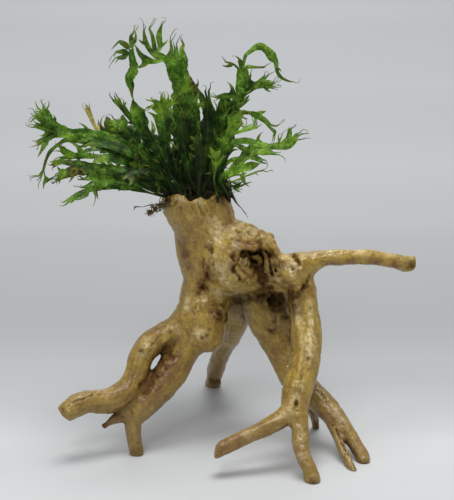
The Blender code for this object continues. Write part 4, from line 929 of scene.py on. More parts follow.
    "frond_front_left": {
        "facing": (-0.2, -0.75, 0.65),
        "blade": [
            (-24, -20, 152, 1.5), (-30.5, -27, 161, 2.5), (-39.5, -38, 168.5, 5),
            (-46.5, -49, 172.5, 5.5), (-52.5, -58, 172.5, 4), (-57, -64, 170, 1.5),
        ],
        "lobes": [],
    },
    "frond_front": {
        "facing": (0.2, -0.9, 0.35),
        "blade": [
            (-16, -21, 152, 1.5), (-15.5, -27, 163.5, 2.5), (-14, -35, 174.5, 5), (-15, -43, 183.5, 5.5),
            (-17, -50, 189.5, 4), (-19.5, -55, 193, 1.5),
        ],
        "lobes": [],
    },
}

# Leaves, in mm: the gap between rows, the thickness of the sheet, and the height and width of the rib on it
ROW_GAP = 1.1
SPRIG_GAP = 0.7
SHEET = 0.2
RIB_HEIGHT = 0.85
RIB_WIDTH = 0.55
TIP_WIDTH = 0.14

# Faces across a lobe and across a plain blade, steps of a path between sections, where along a frond its
# lobes and prongs begin, and the prongs of a blade that has no lobes
LOBE_QUADS = 4
PLAIN_QUADS = 8
LEAF_STEPS = 10
LOBES_FROM = 0.78
PRONGS_FROM = 0.88
BLADE_PRONGS = 4

# How a blade folds along its rib, droops at its margins, turns about its run and eases into that, in mm
FOLD = (0.05, 0.32)
DROOP = (-0.1, 0.4)
SWAY = 0.6
SHARED_SWAY = 0.25
SIDE_EASE = 3.0

# The waves of a margin and the ripples of a blade, in mm
MARGIN_WAVE = 5.5
RIPPLE_DRIFT = 16
RIPPLE = 6.5

# Crinkles: their size along and across the leaf, how leaves differ, and how high they are, in mm
CRINKLES = [(3.6, 2.6, 1.7, 0.34), (1.9, 1.5, 2.3, 0.13)]

# Small side lobes: how far ahead and aside their sections lie for their length, how many rows they take, how
# far they lean ahead and out, how long they are for their base and beyond that, in mm, and how their tips bend
SPRIG = [(0, 0), (0.45, -0.08), (0.85, 0.12), (1, 0.45)]
SPRIG_ROWS = (2, 5)
SPRIG_LEAN = (0.5, 1.1)
SPRIG_OUT = (-0.3, 0.3)
SPRIG_LENGTHS = [(0.7, 1.6), (0, 1.5)]
SPRIG_BENDS = [(-0.4, 1), (-1, 1)]

# Prongs: how far the side ones turn and reach, how all bow and hook, and how far they curl, in mm
PRONG_TURN = (0.4, 1.0)
PRONG_REACH = (0.35, 0.9)
PRONG_BOW = (-0.14, 0.14)
PRONG_HOOK = (-0.8, 0.8)
PRONG_BEND = (0.1, 0.9)
MAIN_CURL = (0.5, 1.4)
SIDE_CURL = (0.3, 0.9)

# How ruffled lobes, their plain tips and prongs are, where a blade is 1
LOBE_RUFFLE = 0.7
TIP_RUFFLE = 0.4
PRONG_RUFFLE = 0.2

# The noises of the leaves' marks: the size of a cell in mm, the seed and the octaves; how ragged marks are
LEAF_EDGES = (2.6, 91, 3)
LEAF_CLOUDS = (11, 95, 2)
MARK_RAGGED = 0.8

# How much lighter each look of the leaves is, and the fronds that don't have the first
LEAF_LIFTS = {"frond_green": 0.0, "frond_pale": 0.1, "frond_brown": 0.05}
FROND_SLOTS = {
    "frond_pale_right": "frond_pale", "frond_stipe_right": "frond_pale",
    "frond_stipe_right_far": "frond_pale", "frond_young_right": "frond_pale",
    "frond_folded_light": "frond_pale", "frond_small_tip": "frond_pale", "frond_dying": "frond_brown",
}

# Fronds that end in a plain point, without prongs
PLAIN_TIPS = [
    "frond_leaf_left", "frond_left_upper_mid", "frond_left_mid", "frond_left_lower_mid", "frond_bright_right",
    "frond_folded_light", "frond_stipe_right", "frond_young_right", "frond_small_tip", "frond_curved_mid",
    "frond_front_left", "frond_front",
]

# Blades without small lobes on their margins
SMOOTH_BLADES = ["frond_top_blade", "frond_top_hand", "frond_tall_twisted", "frond_upright_dark"]

# How many small side lobes at most, and how many prongs, each lobe of a frond ends in
LOBE_TIPS = {
    "frond_upright_dark": (0, 1), "frond_top_blade": (0, 2), "frond_top_hand": (1, 2),
    "frond_tall_right": (1, 1), "frond_tall_twisted": (1, 2), "frond_far_left": (3, 4),
    "frond_lacy_crest": (3, 4), "frond_pale_right": (3, 3), "frond_bright_crest_right": (3, 4),
    "frond_right_low_branch": (3, 4),
}

# Where along the blade, from and to, a frond twists and by what angle
TWISTS = {"frond_tall_twisted": (0.62, 0.82, math.pi)}

# Younger leaves: the share that end in a plain point, their size and width for the frond's, how far they turn
# in degrees, their shift from its foot in mm, how they lean with their height, how far their feet are sunk in
# mm, and how much the way that they face varies
YOUNG_PLAIN = 0.65
YOUNG_SIZE = (0.42, 0.68)
YOUNG_WIDTH = (0.55, 0.8)
YOUNG_TURN = (14, 46)
YOUNG_SHIFT = [(-2.5, 2.5), (-1, 3.5)]
YOUNG_LEAN = [(-0.22, 0.22), (-0.12, 0.3)]
YOUNG_DEPTH = 0.3
YOUNG_FACING = 0.25

# How light each frond is, from 0 to 1
TONES = {
    "frond_far_left": 0.58, "frond_arching_left": 0.48, "frond_curly_left": 0.66, "frond_brown_tip": 0.5,
    "frond_brown_low": 0.55, "frond_dying": 0.95, "frond_leaf_left": 0.42, "frond_forked_left": 0.46,
    "frond_left_upper_mid": 0.38, "frond_left_mid": 0.4, "frond_left_lower_mid": 0.38, "frond_left_low": 0.46,
    "frond_left_lowest": 0.48, "frond_centre_broad": 0.34, "frond_top_blade": 0.72, "frond_top_hand": 0.72,
    "frond_tall_twisted": 0.6, "frond_lacy_crest": 0.54, "frond_small_tip": 0.3, "frond_mid_lacy": 0.42,
    "frond_curved_mid": 0.3, "frond_upright_dark": 0.22, "frond_bright_mid": 0.62, "frond_side_light": 0.5,
    "frond_tall_right": 0.62, "frond_right_low_branch": 0.65, "frond_thin_arch_right": 0.62,
    "frond_pale_right": 0.7, "frond_dark_arch_right": 0.55, "frond_lobed_right": 0.52,
    "frond_bright_right": 0.52, "frond_stipe_right": 0.4, "frond_stipe_right_far": 0.6,
    "frond_young_right": 0.4, "frond_bright_crest_right": 0.6, "frond_folded_light": 0.64,
    "frond_front_left": 0.34, "frond_front": 0.34,
}
USUAL_TONE = 0.42

# How light the leaves beside a frond are for its own tone, and what clouds and the marks of painted light and
# painted shade add to a tone or take from it
SHARED_TONE = 0.85
YOUNG_TONE = 0.75
CLOUD_TONE = 0.1
PAINTED_LIGHT_TONE = 0.45
PAINTED_SHADE_TONE = 0.4

# How many younger leaves grow by the foot of each frond
USUAL_COMPANIONS = 1
COMPANIONS = {
    "frond_top_blade": 2, "frond_top_hand": 2, "frond_tall_twisted": 1, "frond_centre_broad": 2,
    "frond_lacy_crest": 1, "frond_mid_lacy": 2, "frond_curved_mid": 2, "frond_upright_dark": 2,
    "frond_bright_mid": 2, "frond_thin_arch_right": 0, "frond_dark_arch_right": 0,
    "frond_stipe_right": 0, "frond_stipe_right_far": 0, "frond_young_right": 0, "frond_left_lowest": 0,
    "frond_bright_right": 0, "frond_lobed_right": 0, "frond_folded_light": 0, "frond_left_low": 0,
    "frond_right_low_branch": 0, "frond_front_left": 0, "frond_front": 1, "frond_dying": 0,
    "frond_pale_right": 0, "frond_bright_crest_right": 0, "frond_back_tall": 2, "frond_back_centre_left": 2,
    "frond_back_left": 2, "frond_back_right": 2, "frond_back_low": 2,
}

# Where along a frond its decay begins, the value that stands for nowhere, and how soon the decay is complete
BROWNING = {"frond_brown_tip": 0.9, "frond_brown_low": 0.93, "frond_dying": 0.12}
NEVER = 1.15
BROWN_EASE = 0.12

# Marks on the leaves, the brown of decay, painted light and painted shade: column and row in the picture,
# reach in pixels, and strength
LEAF_BROWN = [
    (133, 93, 5, 0.8), (126, 44, 3, 0.8), (118, 59, 3, 0.6), (113, 53, 3, 0.6), (150, 57, 3, 0.4),
    (158, 57, 4, 0.3), (143, 26, 4, 0.7), (144, 33, 3, 0.5), (176, 41, 5, 0.8), (182, 42, 4, 0.8),
    (172, 46, 4, 0.6), (174, 33, 4, 0.5), (194, 78, 6, 0.9), (194, 86, 5, 0.8), (193, 82, 4, 0.7),
    (225, 61, 5, 0.7), (235, 63, 5, 0.5), (238, 60, 5, 0.5), (276, 82, 4, 0.7), (263, 67, 3, 0.7),
    (247, 111, 5, 0.6), (37, 143, 4, 0.8), (32, 141, 3, 0.6), (73, 171, 5, 0.95), (80, 173, 4.5, 0.95),
    (53, 166, 3.5, 0.9), (49, 164, 3, 0.8), (66, 178, 4, 0.4), (90, 116, 5, 0.6), (96, 124, 5, 0.5),
    (101, 117, 4, 0.5), (176, 101, 2.5, 0.5), (252, 181, 3, 0.9), (271, 170, 2.5, 0.8), (281, 160, 3, 0.5),
    (158, 131, 4, 0.4), (34, 148, 3, 0.4), (296, 124, 3, 0.5), (242, 126, 3, 0.5),
]
# Painted light on the leaves that catch it
LEAF_PAINTED_LIGHT = [
    (162, 100, 10, 0.7), (158, 106, 8, 0.7), (154, 127, 5, 0.6), (103, 158, 4, 0.6), (105, 161, 3, 0.6),
    (34, 116, 7, 0.5), (38, 110, 6, 0.5), (33, 123, 5, 0.5), (44, 102, 5, 0.5), (88, 105, 6, 0.7),
    (117, 100, 6, 0.5), (128, 106, 5, 0.5), (118, 44, 6, 0.4), (240, 121, 10, 0.35), (258, 127, 8, 0.7),
    (262, 47, 8, 0.4), (272, 55, 6, 0.4), (250, 66, 5, 0.6), (245, 75, 5, 0.4), (200, 104, 6, 0.6),
    (232, 130, 8, 0.35), (225, 140, 6, 0.3), (212, 152, 7, 0.5), (214, 165, 6, 0.4), (284, 143, 9, 0.6),
    (293, 137, 8, 0.5), (245, 165, 14, 0.35), (230, 174, 7, 0.4), (253, 149, 7, 0.5), (265, 152, 6, 0.4),
    (58, 163, 6, 0.7), (62, 175, 6, 0.6), (70, 154, 6, 0.5), (36, 146, 4, 0.6), (40, 176, 5, 0.6),
    (70, 202, 6, 0.5), (112, 127, 8, 0.5), (120, 125, 6, 0.4), (180, 130, 6, 0.25), (152, 30, 6, 0.4),
    (158, 36, 6, 0.4), (133, 32, 4, 0.4), (184, 47, 4, 0.6), (215, 96, 7, 0.4), (240, 133, 6, 0.4),
    (100, 175, 10, 0.3), (66, 140, 14, 0.25),
]
# Painted shade in the crowded core of the clump and under the leaves above
LEAF_PAINTED_SHADE = [
    (120, 142, 12, 0.35), (105, 135, 10, 0.25), (145, 172, 14, 0.6), (130, 174, 8, 0.8), (205, 170, 9, 0.5),
    (175, 135, 14, 0.7), (170, 155, 14, 0.7), (180, 175, 16, 0.7), (200, 160, 12, 0.7), (160, 145, 12, 0.7),
    (152, 140, 9, 0.7), (195, 180, 14, 0.7), (208, 120, 10, 0.5), (208, 135, 10, 0.6), (225, 112, 8, 0.5),
    (192, 128, 10, 0.5), (215, 178, 10, 0.7), (165, 165, 14, 0.6), (185, 145, 10, 0.6), (150, 170, 10, 0.5),
    (207, 108, 8, 0.4), (230, 155, 8, 0.4), (168, 128, 8, 0.5), (110, 150, 6, 0.3), (118, 180, 8, 0.35),
    (145, 185, 8, 0.4), (178, 190, 10, 0.6), (222, 165, 7, 0.4), (205, 95, 5, 0.4), (250, 143, 6, 0.3),
]

# Leaves that share a frond's foot and fill out the clump: the way that each faces, and its sections in mm
SHARED_LEAVES = {
    "frond_side_light": [
        ((0, -1, 0.1), [
            (-3.5, 3, 169, 2), (-3, 5, 183, 3.5), (-2, 6, 194.5, 7), (-1, 6, 202, 8), (0, 6, 206.5, 5),
            (3.5, 6, 208, 1.5),
        ]),
        ((0, -1, 0.1), [
            (-7, 3, 151, 2), (-8.5, 4, 164, 2.5), (-8, 5, 177, 5), (-5.5, 6, 189, 6.5), (-6, 6, 199, 5),
            (-9.5, 6, 207, 2),
        ]),
    ],
    "frond_tall_right": [
        ((-0.3, -0.9, 0.1), [
            (-4, 5, 151.5, 2), (-3, 8, 165.5, 3.5), (-0.5, 10, 180, 5.5), (2.5, 11, 193, 6.5),
            (3.5, 11, 202, 4.5), (2, 11, 206.5, 2),
        ]),
        ((0.3, -0.9, 0.1), [
            (0, 9, 169, 2), (4, 12, 188, 2), (6.5, 14, 200.5, 2.5), (9.5, 14.5, 207.5, 3.5),
            (12.5, 15, 213.5, 4.5), (13, 15, 219, 4), (12.5, 15, 224, 1),
        ]),
    ],
    "frond_thin_arch_right": [
        ((-0.3, -0.95, 0), [
            (-7, 0, 153, 2), (-5.5, -2, 167.5, 3.5), (-3, -3, 179.5, 5), (-2.5, -3, 190, 5),
            (-0.5, -2, 199, 2.5), (0, -2, 204.5, 1),
        ]),
    ],
    "frond_forked_left": [
        ((0.1, -0.9, 0.4), [
            (-32.5, 2, 151, 2), (-43, 3, 166.5, 3.5), (-52.5, 4, 179, 5.5), (-60.5, 5, 188.5, 7),
            (-67, 5, 192.5, 5), (-71, 5, 194.5, 1.5),
        ]),
    ],
    "frond_leaf_left": [
        ((-0.1, -0.9, 0.4), [
            (-35, 4, 150.5, 2), (-47, 6, 162.5, 3.5), (-59, 8, 174, 5.5), (-67.5, 9, 182, 7.5),
            (-73, 10, 188.5, 6.5), (-75, 10, 193, 1.5),
        ]),
    ],
    "frond_brown_tip": [
        ((0, -0.8, 0.6), [
            (-38, -5, 152, 2), (-51, -8, 158.5, 3.5), (-67.5, -11, 163.5, 5.5), (-79, -13, 166, 6.5),
            (-88, -14, 167, 6.5), (-94, -15, 165, 5.5), (-98, -15, 162.5, 4), (-101.5, -15, 159.5, 1.5),
        ]),
    ],
    "frond_curly_left": [
        ((0.1, -0.8, 0.6), [
            (-44.5, -14, 162, 2), (-62, -18, 175, 2.5), (-73, -20, 181.5, 2.5), (-80, -22, 184.5, 3.5),
            (-85.5, -23, 185.5, 2.5), (-89.5, -24, 187, 1),
        ]),
        ((0.1, -0.8, 0.6), [
            (-83, -17, 175, 2), (-88, -19, 176, 3.5), (-92.5, -20, 178, 4.5), (-95.5, -21, 180.5, 4),
            (-98, -22, 183, 1),
        ]),
    ],
    "frond_far_left": [
        ((-0.2, -0.9, 0.4), [
            (-86.5, -29, 190, 2), (-94.5, -31, 194, 4), (-101, -33, 199, 5), (-105.5, -34, 202, 4.5),
            (-109, -35, 201.5, 1.5),
        ]),
    ],
}

# How much wider a frond's blade and its lobes are than their sections say
WIDER = {
    "frond_far_left": (1.0, 1.3), "frond_arching_left": (1.1, 1.3), "frond_curly_left": (1.0, 1.3),
    "frond_brown_tip": (1.2, 1), "frond_brown_low": (1.15, 1.3), "frond_left_low": (1.15, 1.3),
    "frond_left_lowest": (1, 1.3), "frond_top_hand": (1.15, 1.1), "frond_tall_twisted": (1.15, 1.3),
    "frond_lacy_crest": (1, 1.5), "frond_mid_lacy": (1, 1.3), "frond_tall_right": (1.1, 1.05),
    "frond_right_low_branch": (1.05, 1.5), "frond_dark_arch_right": (1, 1.4),
    "frond_lobed_right": (1.05, 1.1), "frond_forked_left": (1.2, 1.4),
    "frond_thin_arch_right": (1.1, 1.2), "frond_pale_right": (1.1, 1.6),
    "frond_top_blade": (1.12, 1.2), "frond_bright_crest_right": (1, 1.3), "frond_leaf_left": (1.15, 1),
    "frond_centre_broad": (0.85, 1), "frond_upright_dark": (1.0, 1.2),
}

# The creeping stem, and the mat of rootlets on the stump, in mm
STEMS = {
    "rhizome": [
        (-26, -12, 155, 1.6), (-16, -9, 155, 2.5), (-5, -6, 155.5, 2.5), (-1.5, -8, 156.5, 2.1),
        (1.5, -10, 155, 1.8), (2.5, -11, 151.5, 1.3),
    ],
}
STEM_HAIRS = 260
ROOTLETS = 230
MAT_CENTRE = (-17, -6)
MAT_REACH = (19.5, 16)
MAT_HEIGHT = 152
MAT_EDGES = (3.5, -20.0)

# The size of a strand's bumps and the steps by which it wanders, in mm; a way that no strand runs along; and
# the shares of a strand's radius by which its ends stick out and by which it lies off the wood
STRAND_BUMP = 1.5
WANDER_STEP = 1.1
STRAND_FACING = (0.3, 0.5, 0.81)
STRAND_END = 0.6
STRAND_LIFT = 0.6

# The knot at a frond's foot: how far above the foot, in mm, and how wide for the frond's radius
CLUMP = [(-3, 1.3), (0, 1.2), (2.6, 1), (4, 0.5)]

# The brown tuft left of the rim and the thread at its right: places and radii, in mm, and how many threads
# grow from each knot and hairs from the thread
TUFT_KNOTS = [(-37.5, -20, 146.5, 2.6), (-41, -20.5, 145.5, 2.2), (-44, -21, 143.2, 1.8)]
TUFT_ROOTS = [
    [(-33.5, -19.5, 149.5, 0.8), (-36, -20, 147.5, 1.0), (-39, -20, 146, 0.7)],
    [(-37, -20, 148, 0.35), (-44, -21, 147.6, 0.28), (-48.5, -21, 146.4, 0.24), (-51.5, -21, 146.4, 0.25),
     (-53.3, -21, 146.2, 0.42), (-54, -21, 144.2, 0.15)],
    [(-40.5, -20.5, 145, 0.5), (-44, -21, 143.2, 0.42), (-45.5, -21, 143.6, 0.34), (-45.2, -21.5, 141, 0.2)],
    [(-38, -20, 145, 0.4), (-39.5, -20.5, 143.6, 0.3), (-41.5, -21, 143.8, 0.25), (-43, -21, 142.6, 0.15)],
]
KNOT_THREADS = 34
THREAD_HAIRS = 40
THREAD_ROOT = [
    (1.6, -12.5, 153.6, 1.0), (3.2, -13, 151.8, 1.2), (4.8, -13.5, 149.6, 0.7), (6.5, -14, 146.8, 0.4),
    (9, -14, 144.2, 0.27), (11.3, -14.5, 141.2, 0.2), (13, -15, 138.8, 0.1),
]


def unit(vectors):
    length = np.linalg.norm(vectors, axis=-1, keepdims=True)
    return vectors / np.maximum(length, 1e-9)


def smooth_path(points, steps):
    """Points on a Catmull-Rom curve through the given ones; every value of a point is carried along."""
    ends = [points[0], *points, points[-1]]
    path = []
    for before, start, end, after in zip(ends, ends[1:], ends[2:], ends[3:]):
        b, s, e, a = (np.array(point, float) for point in (before, start, end, after))
        for step in range(steps):
            t = step / steps
            bend = t * t * (2 * b - 5 * s + 4 * e - a) + t ** 3 * (3 * s - b - 3 * e + a)
            path.append(0.5 * (2 * s + t * (e - b) + bend))
    return np.array([*path, points[-1]], float)


def noise(points, seed):
    """Smooth gradient noise, about -1 to 1, with one cell per unit of length."""
    rng = np.random.default_rng(seed)
    order = np.tile(rng.permutation(NOISE_CELLS), 3)
    slopes = rng.normal(size=(NOISE_CELLS, 3))
    slopes /= np.linalg.norm(slopes, axis=1)[:, None]
    cell = np.floor(points).astype(np.int64)
    part = points - cell
    cell &= NOISE_CELLS - 1
    fade = part ** 3 * (part * (part * 6 - 15) + 10)
    total = np.zeros(len(points))
    for corner in np.ndindex(2, 2, 2):
        i, j, k = corner
        at = order[order[order[cell[:, 0] + i] + cell[:, 1] + j] + cell[:, 2] + k]
        share = np.where(corner, fade, 1 - fade).prod(axis=1)
        total += share * (slopes[at] * (part - corner)).sum(axis=1)
    return total * NOISE_GAIN


def rough_noise(points, seed, octaves):
    """Several layers of noise, each twice as fine and half as strong as the one before."""
    return sum(noise(points * 2 ** i, seed + i) / 2 ** i for i in range(octaves))


def smooth_min(a, b, width):
    near = np.maximum(width - np.abs(a - b), 0) / width
    return np.minimum(a, b) - near * near * width / 4


def smooth_max(a, b, width):
    return -smooth_min(-a, -b, width)


def within(inner, outer):
    """The slices of a window, counted from the start of a larger one."""
    return tuple(slice(max(i.start - o.start, 0), max(i.stop - o.start, 0)) for i, o in zip(inner, outer))


class Space:
    """The grid of distances on which the wood's surface is found, and which limb owns each of its points."""

    def __init__(self):
        self.low = np.array(WOOD_LOW)
        count = np.ceil((np.array(WOOD_HIGH) - self.low) / GRID).astype(int) + 1
        self.field = np.full(count, FAR, np.float32)
        self.owner = np.zeros(count, np.int8)
        self.nearest = np.full(count, FAR, np.float32)

    def window(self, low, high):
        """The slices of the grid that hold a box, and the places of their points along each axis."""
        first = np.maximum(np.floor((np.array(low) - self.low) / GRID).astype(int), 0)
        last = np.minimum(np.ceil((np.array(high) - self.low) / GRID).astype(int) + 1, self.field.shape)
        slices = tuple(slice(a, b) for a, b in zip(first, last))
        axes = [self.low[i] + GRID * np.arange(first[i], last[i], dtype=np.float32) for i in range(3)]
        return slices, np.meshgrid(*axes, indexing="ij", sparse=True)

    def tube(self, path, reach=REACH):
        """The slices round a tube along the path, and the distance to its surface there."""
        spread = path[:, 3:].max() + reach
        slices, _ = self.window(path[:, :3].min(axis=0) - spread, path[:, :3].max(axis=0) + spread)
        distance = np.full([s.stop - s.start for s in slices], FAR, np.float32)
        for start, end in zip(path, path[1:]):
            margin = max(start[3], end[3]) + reach
            low, high = np.minimum(start[:3], end[:3]), np.maximum(start[:3], end[:3])
            inner, places = self.window(low - margin, high + margin)
            local = within(inner, slices)
            distance[local] = np.minimum(distance[local], segment_distance(places, start, end))
        return slices, distance

    def at(self, points):
        """The field between its grid points."""
        place = np.clip((points - self.low) / GRID, 0, np.array(self.field.shape) - 1.001)
        cell = place.astype(int)
        part = place - cell
        total = np.zeros(len(points))
        for corner in np.ndindex(2, 2, 2):
            share = np.where(corner, part, 1 - part).prod(axis=1)
            total += share * self.field[tuple((cell + corner).T)]
        return total

    def slope(self, points):
        """The direction in which the field grows fastest: out of the wood."""
        return unit(np.stack([self.at(points + step) - self.at(points - step) for step in np.eye(3)], 1))


def segment_distance(places, start, end):
    """Distance from grid places to the surface of a tapered rod."""
    run = end[:3] - start[:3]
    off = [place - np.float32(s) for place, s in zip(places, start[:3])]
    along = sum(o * np.float32(r) for o, r in zip(off, run)) / np.float32(max(run @ run, 1e-9))
    along = np.clip(along, 0, 1)
    apart = sum((o - along * np.float32(r)) ** 2 for o, r in zip(off, run))
    return np.sqrt(apart) - (np.float32(start[3]) + along * np.float32(end[3] - start[3]))


def grow_limb(space, name, owner):
    """Join one limb to the wood with a fillet, and claim the space that its parents left."""
    path = smooth_path(LIMBS[name], PATH_STEPS)
    slices, distance = space.tube(path)
    if name in CUT_ENDS:
        facing = unit(np.array(CUT_ENDS[name], float))
        end, margin = path[-1, :3], path[-1, 3] + REACH
        inner, places = space.window(end - margin, end + margin)
        local = within(inner, slices)
        beyond = sum((place - e) * f for place, e, f in zip(places, end, facing))
        distance[local] = smooth_max(distance[local], beyond.astype(np.float32), CUT_ROUNDING)
    claimed = (space.nearest[slices] > CLAIM_GAP) & (distance < space.nearest[slices])
    space.nearest[slices] = np.where(claimed, distance, space.nearest[slices])
    space.owner[slices] = np.where(claimed, np.int8(owner), space.owner[slices])
    space.field[slices] = smooth_min(space.field[slices], distance, FILLETS[name])


def seen(space, marks):
    """The first wood that the camera sees at each mark, which begins with its column and row there."""
    column, row = np.array([mark[:2] for mark in marks], float).T
    across = (column - PICTURE[0] / 2) / FOCAL
    up = (PICTURE[1] / 2 - row) / FOCAL
    ahead = math.cos(PITCH) + up * math.sin(PITCH)
    way = unit(np.stack([across, ahead, up * math.cos(PITCH) - math.sin(PITCH)], 1))
    place = np.array(CAMERA) + way * FIRST_LOOK
    nearest = place.copy()
    least = np.full(len(marks), np.inf)
    for _ in range(LOOKS):
        gap = space.at(place)
        closer = np.abs(gap) < least
        nearest[closer] = place[closer]
        least = np.minimum(least, np.abs(gap))
        place += way * np.clip(gap, *LOOK_STEPS)[:, None]
    return nearest


def placed(space, marks):
    """The marks, with the place that is seen there instead of their column and row."""
    return [(*place, *mark[2:]) for place, mark in zip(seen(space, marks), marks)]


def onto_wood(space, places):
    """The places moved to the nearest surface of the wood, and the way out of it there."""
    places = np.array([place[:3] for place in places], float)
    for _ in range(3):
        places = places - space.slope(places) * space.at(places)[:, None]
    return places, space.slope(places)


def carve_and_swell(space):
    """The lumps, the rotted hollows and the ridges, each where the smooth wood shows its mark."""
    lumps = placed(space, LUMPS) + FAR_LUMPS
    hollows = placed(space, HOLLOWS)
    ridges = [(height, ridge, *onto_wood(space, seen(space, ridge))) for height, ridge in RIDGES]
    _, hollow_out = onto_wood(space, hollows)
    for place, out, (*_, radius, height) in zip(*onto_wood(space, lumps), lumps):
        centre = place - out * (radius - height)
        slices, grid = space.window(centre - radius - LUMP_REACH, centre + radius + LUMP_REACH)
        lump = segment_distance(grid, np.array((*centre, radius)), np.array((*centre + 0.1, radius)))
        space.field[slices] = smooth_min(space.field[slices], lump, LUMP_FILLET)
    for out, (*place, depth, radius_x, radius_y, radius_z) in zip(hollow_out, hollows):
        centre = place - out * depth
        radii = (radius_x, radius_y, radius_z)
        reach = np.array(radii) + HOLLOW_REACH
        slices, grid = space.window(centre - reach, centre + reach)
        share = np.sqrt(sum(((p - c) / r) ** 2 for p, c, r in zip(grid, centre, radii)))
        spots = np.stack(np.broadcast_arrays(*grid), -1).reshape(-1, 3)
        share = share + HOLLOW_ROUGHNESS * patterned(spots, HOLLOW_GRAIN).reshape(share.shape)
        hollow = ((1 - share) * min(radii)).astype(np.float32)
        space.field[slices] = smooth_max(space.field[slices], hollow, HOLLOW_ROUNDING)
    for height, ridge, places, out in ridges:
        radius = np.array([mark[2] for mark in ridge])
        centres = places - out * (radius - height)[:, None]
        slices, distance = space.tube(smooth_path([*np.column_stack([centres, radius])], PATH_STEPS), reach=3)
        space.field[slices] = smooth_min(space.field[slices], distance, RIDGE_FILLET)


def wear_top(space):
    """The worn rim of the stump, a little hollow inside, which falls towards the back."""
    slices, (x, y, z) = space.window(*RIM_BOX)
    rim = np.interp(x, *np.array(RIM, float).T)
    middle_x, middle_y = TOP_MIDDLE
    width, deep = TOP_DISH
    inside = np.clip(1 - ((x - middle_x) ** 2 + (y - middle_y) ** 2) / width ** 2, 0, 1)
    height = rim - RIM_FALL * (y - RIM_FRONT) - deep * inside ** 0.7
    top = ((z - height) * 0.97).astype(np.float32)
    space.field[slices] = smooth_max(space.field[slices], top, RIM_ROUNDING)


def wood_space():
    space = Space()
    for owner, limbs in enumerate(WOOD_NODES.values(), start=1):
        for name in limbs:
            grow_limb(space, name, owner)
    carve_and_swell(space)
    wear_top(space)
    _, (_, _, z) = space.window(WOOD_LOW, WOOD_HIGH)
    space.field = np.maximum(space.field, -z.astype(np.float32))
    return space


def surface_nets(space):
    """A vertex in each grid cell that the surface or a border between nodes passes, and each node's faces."""
    label = np.where(space.field < 0, space.owner, 0).astype(np.int8)
    cells_shape = np.array(label.shape) - 1
    corners = [
        label[tuple(slice(c, c + s) for c, s in zip(corner, cells_shape))] for corner in np.ndindex(2, 2, 2)
    ]
    mixed = np.zeros(cells_shape, bool)
    for other in corners[1:]:
        mixed |= other != corners[0]
    cells = np.argwhere(mixed)
    number = np.full(cells_shape, -1, np.int32)
    number[tuple(cells.T)] = np.arange(len(cells))
    faces = {owner: [] for owner in range(1, len(WOOD_NODES) + 1)}
    outer = {owner: [] for owner in faces}
    for axis in range(3):
        ahead = tuple(slice(1, None) if i == axis else slice(None) for i in range(3))
        behind = tuple(slice(None, -1) if i == axis else slice(None) for i in range(3))
        found = np.argwhere(label[behind] != label[ahead])
        side_a, side_b = np.eye(3, dtype=int)[[(axis + 1) % 3, (axis + 2) % 3]]
        steps = (side_a + side_b, side_b, 0 * side_a, side_a)
        ring = np.stack([number[tuple((found - step).T)] for step in steps], 1)
        low_owner, high_owner = label[behind][tuple(found.T)], label[ahead][tuple(found.T)]
        for owner in faces:
            for mine, other, turn in ((low_owner, high_owner, 1), (high_owner, low_owner, -1)):
                chosen = mine == owner
                faces[owner].append(ring[chosen][:, ::turn])
                outer[owner].append(other[chosen] == 0)
    faces = {owner: np.concatenate(found) for owner, found in faces.items()}
    outer = {owner: np.concatenate(found) for owner, found in outer.items()}
    return crossing_points(space, cells), faces, outer


def crossing_points(space, cells):
    """The mean of where the surface crosses a cell's edges, or the cell's middle where it doesn't."""
    corner_at = np.array(list(np.ndindex(2, 2, 2)))
    value = np.stack([space.field[tuple((cells + corner).T)] for corner in corner_at], 1).astype(float)
    total = np.zeros((len(cells), 3))
    crossed = np.zeros(len(cells))
    for i, start in enumerate(corner_at):
        for j, end in enumerate(corner_at):
            if j <= i or np.abs(end - start).sum() != 1:
                continue
            crosses = (value[:, i] < 0) != (value[:, j] < 0)
            t = np.where(crosses, value[:, i] / np.where(crosses, value[:, i] - value[:, j], 1), 0)
            total += np.where(crosses[:, None], start + t[:, None] * (end - start), 0)
            crossed += crosses
    place = np.where(crossed[:, None] > 0, total / np.maximum(crossed, 1)[:, None], 0.5)
    return space.low + GRID * (cells + place)


def patterned(points, kind):
    size, seed, octaves = kind
    return rough_noise(points / size, seed, octaves)


def close_to(path, points, margin):
    """The numbers of the points that may lie near a path."""
    low, high = path[:, :3].min(axis=0) - margin, path[:, :3].max(axis=0) + margin
    return np.flatnonzero(((points > low) & (points < high)).all(axis=1))


def limb_coordinates(path, points):
    """For each point the gap to the limb's surface, and its place across (two ways) and along the limb."""
    gap = np.full(len(points), np.inf)
    place = np.zeros((len(points), 3))
    passed = 0.0
    side = np.array((0.31, 0.87, 0.38))
    for start, end in zip(path, path[1:]):
        run = end[:3] - start[:3]
        length = max(np.linalg.norm(run), 1e-6)
        way = run / length
        side = unit(side - way * (side @ way))
        off = points - start[:3]
        along = np.clip(off @ way, 0, length)
        apart = off - along[:, None] * way
        here = np.linalg.norm(apart, axis=1) - (start[3] + along / length * (end[3] - start[3]))
        closer = here < gap
        gap[closer] = here[closer]
        place[closer] = np.column_stack([apart @ side, apart @ np.cross(way, side), passed + along])[closer]
        passed += length
    return gap, place


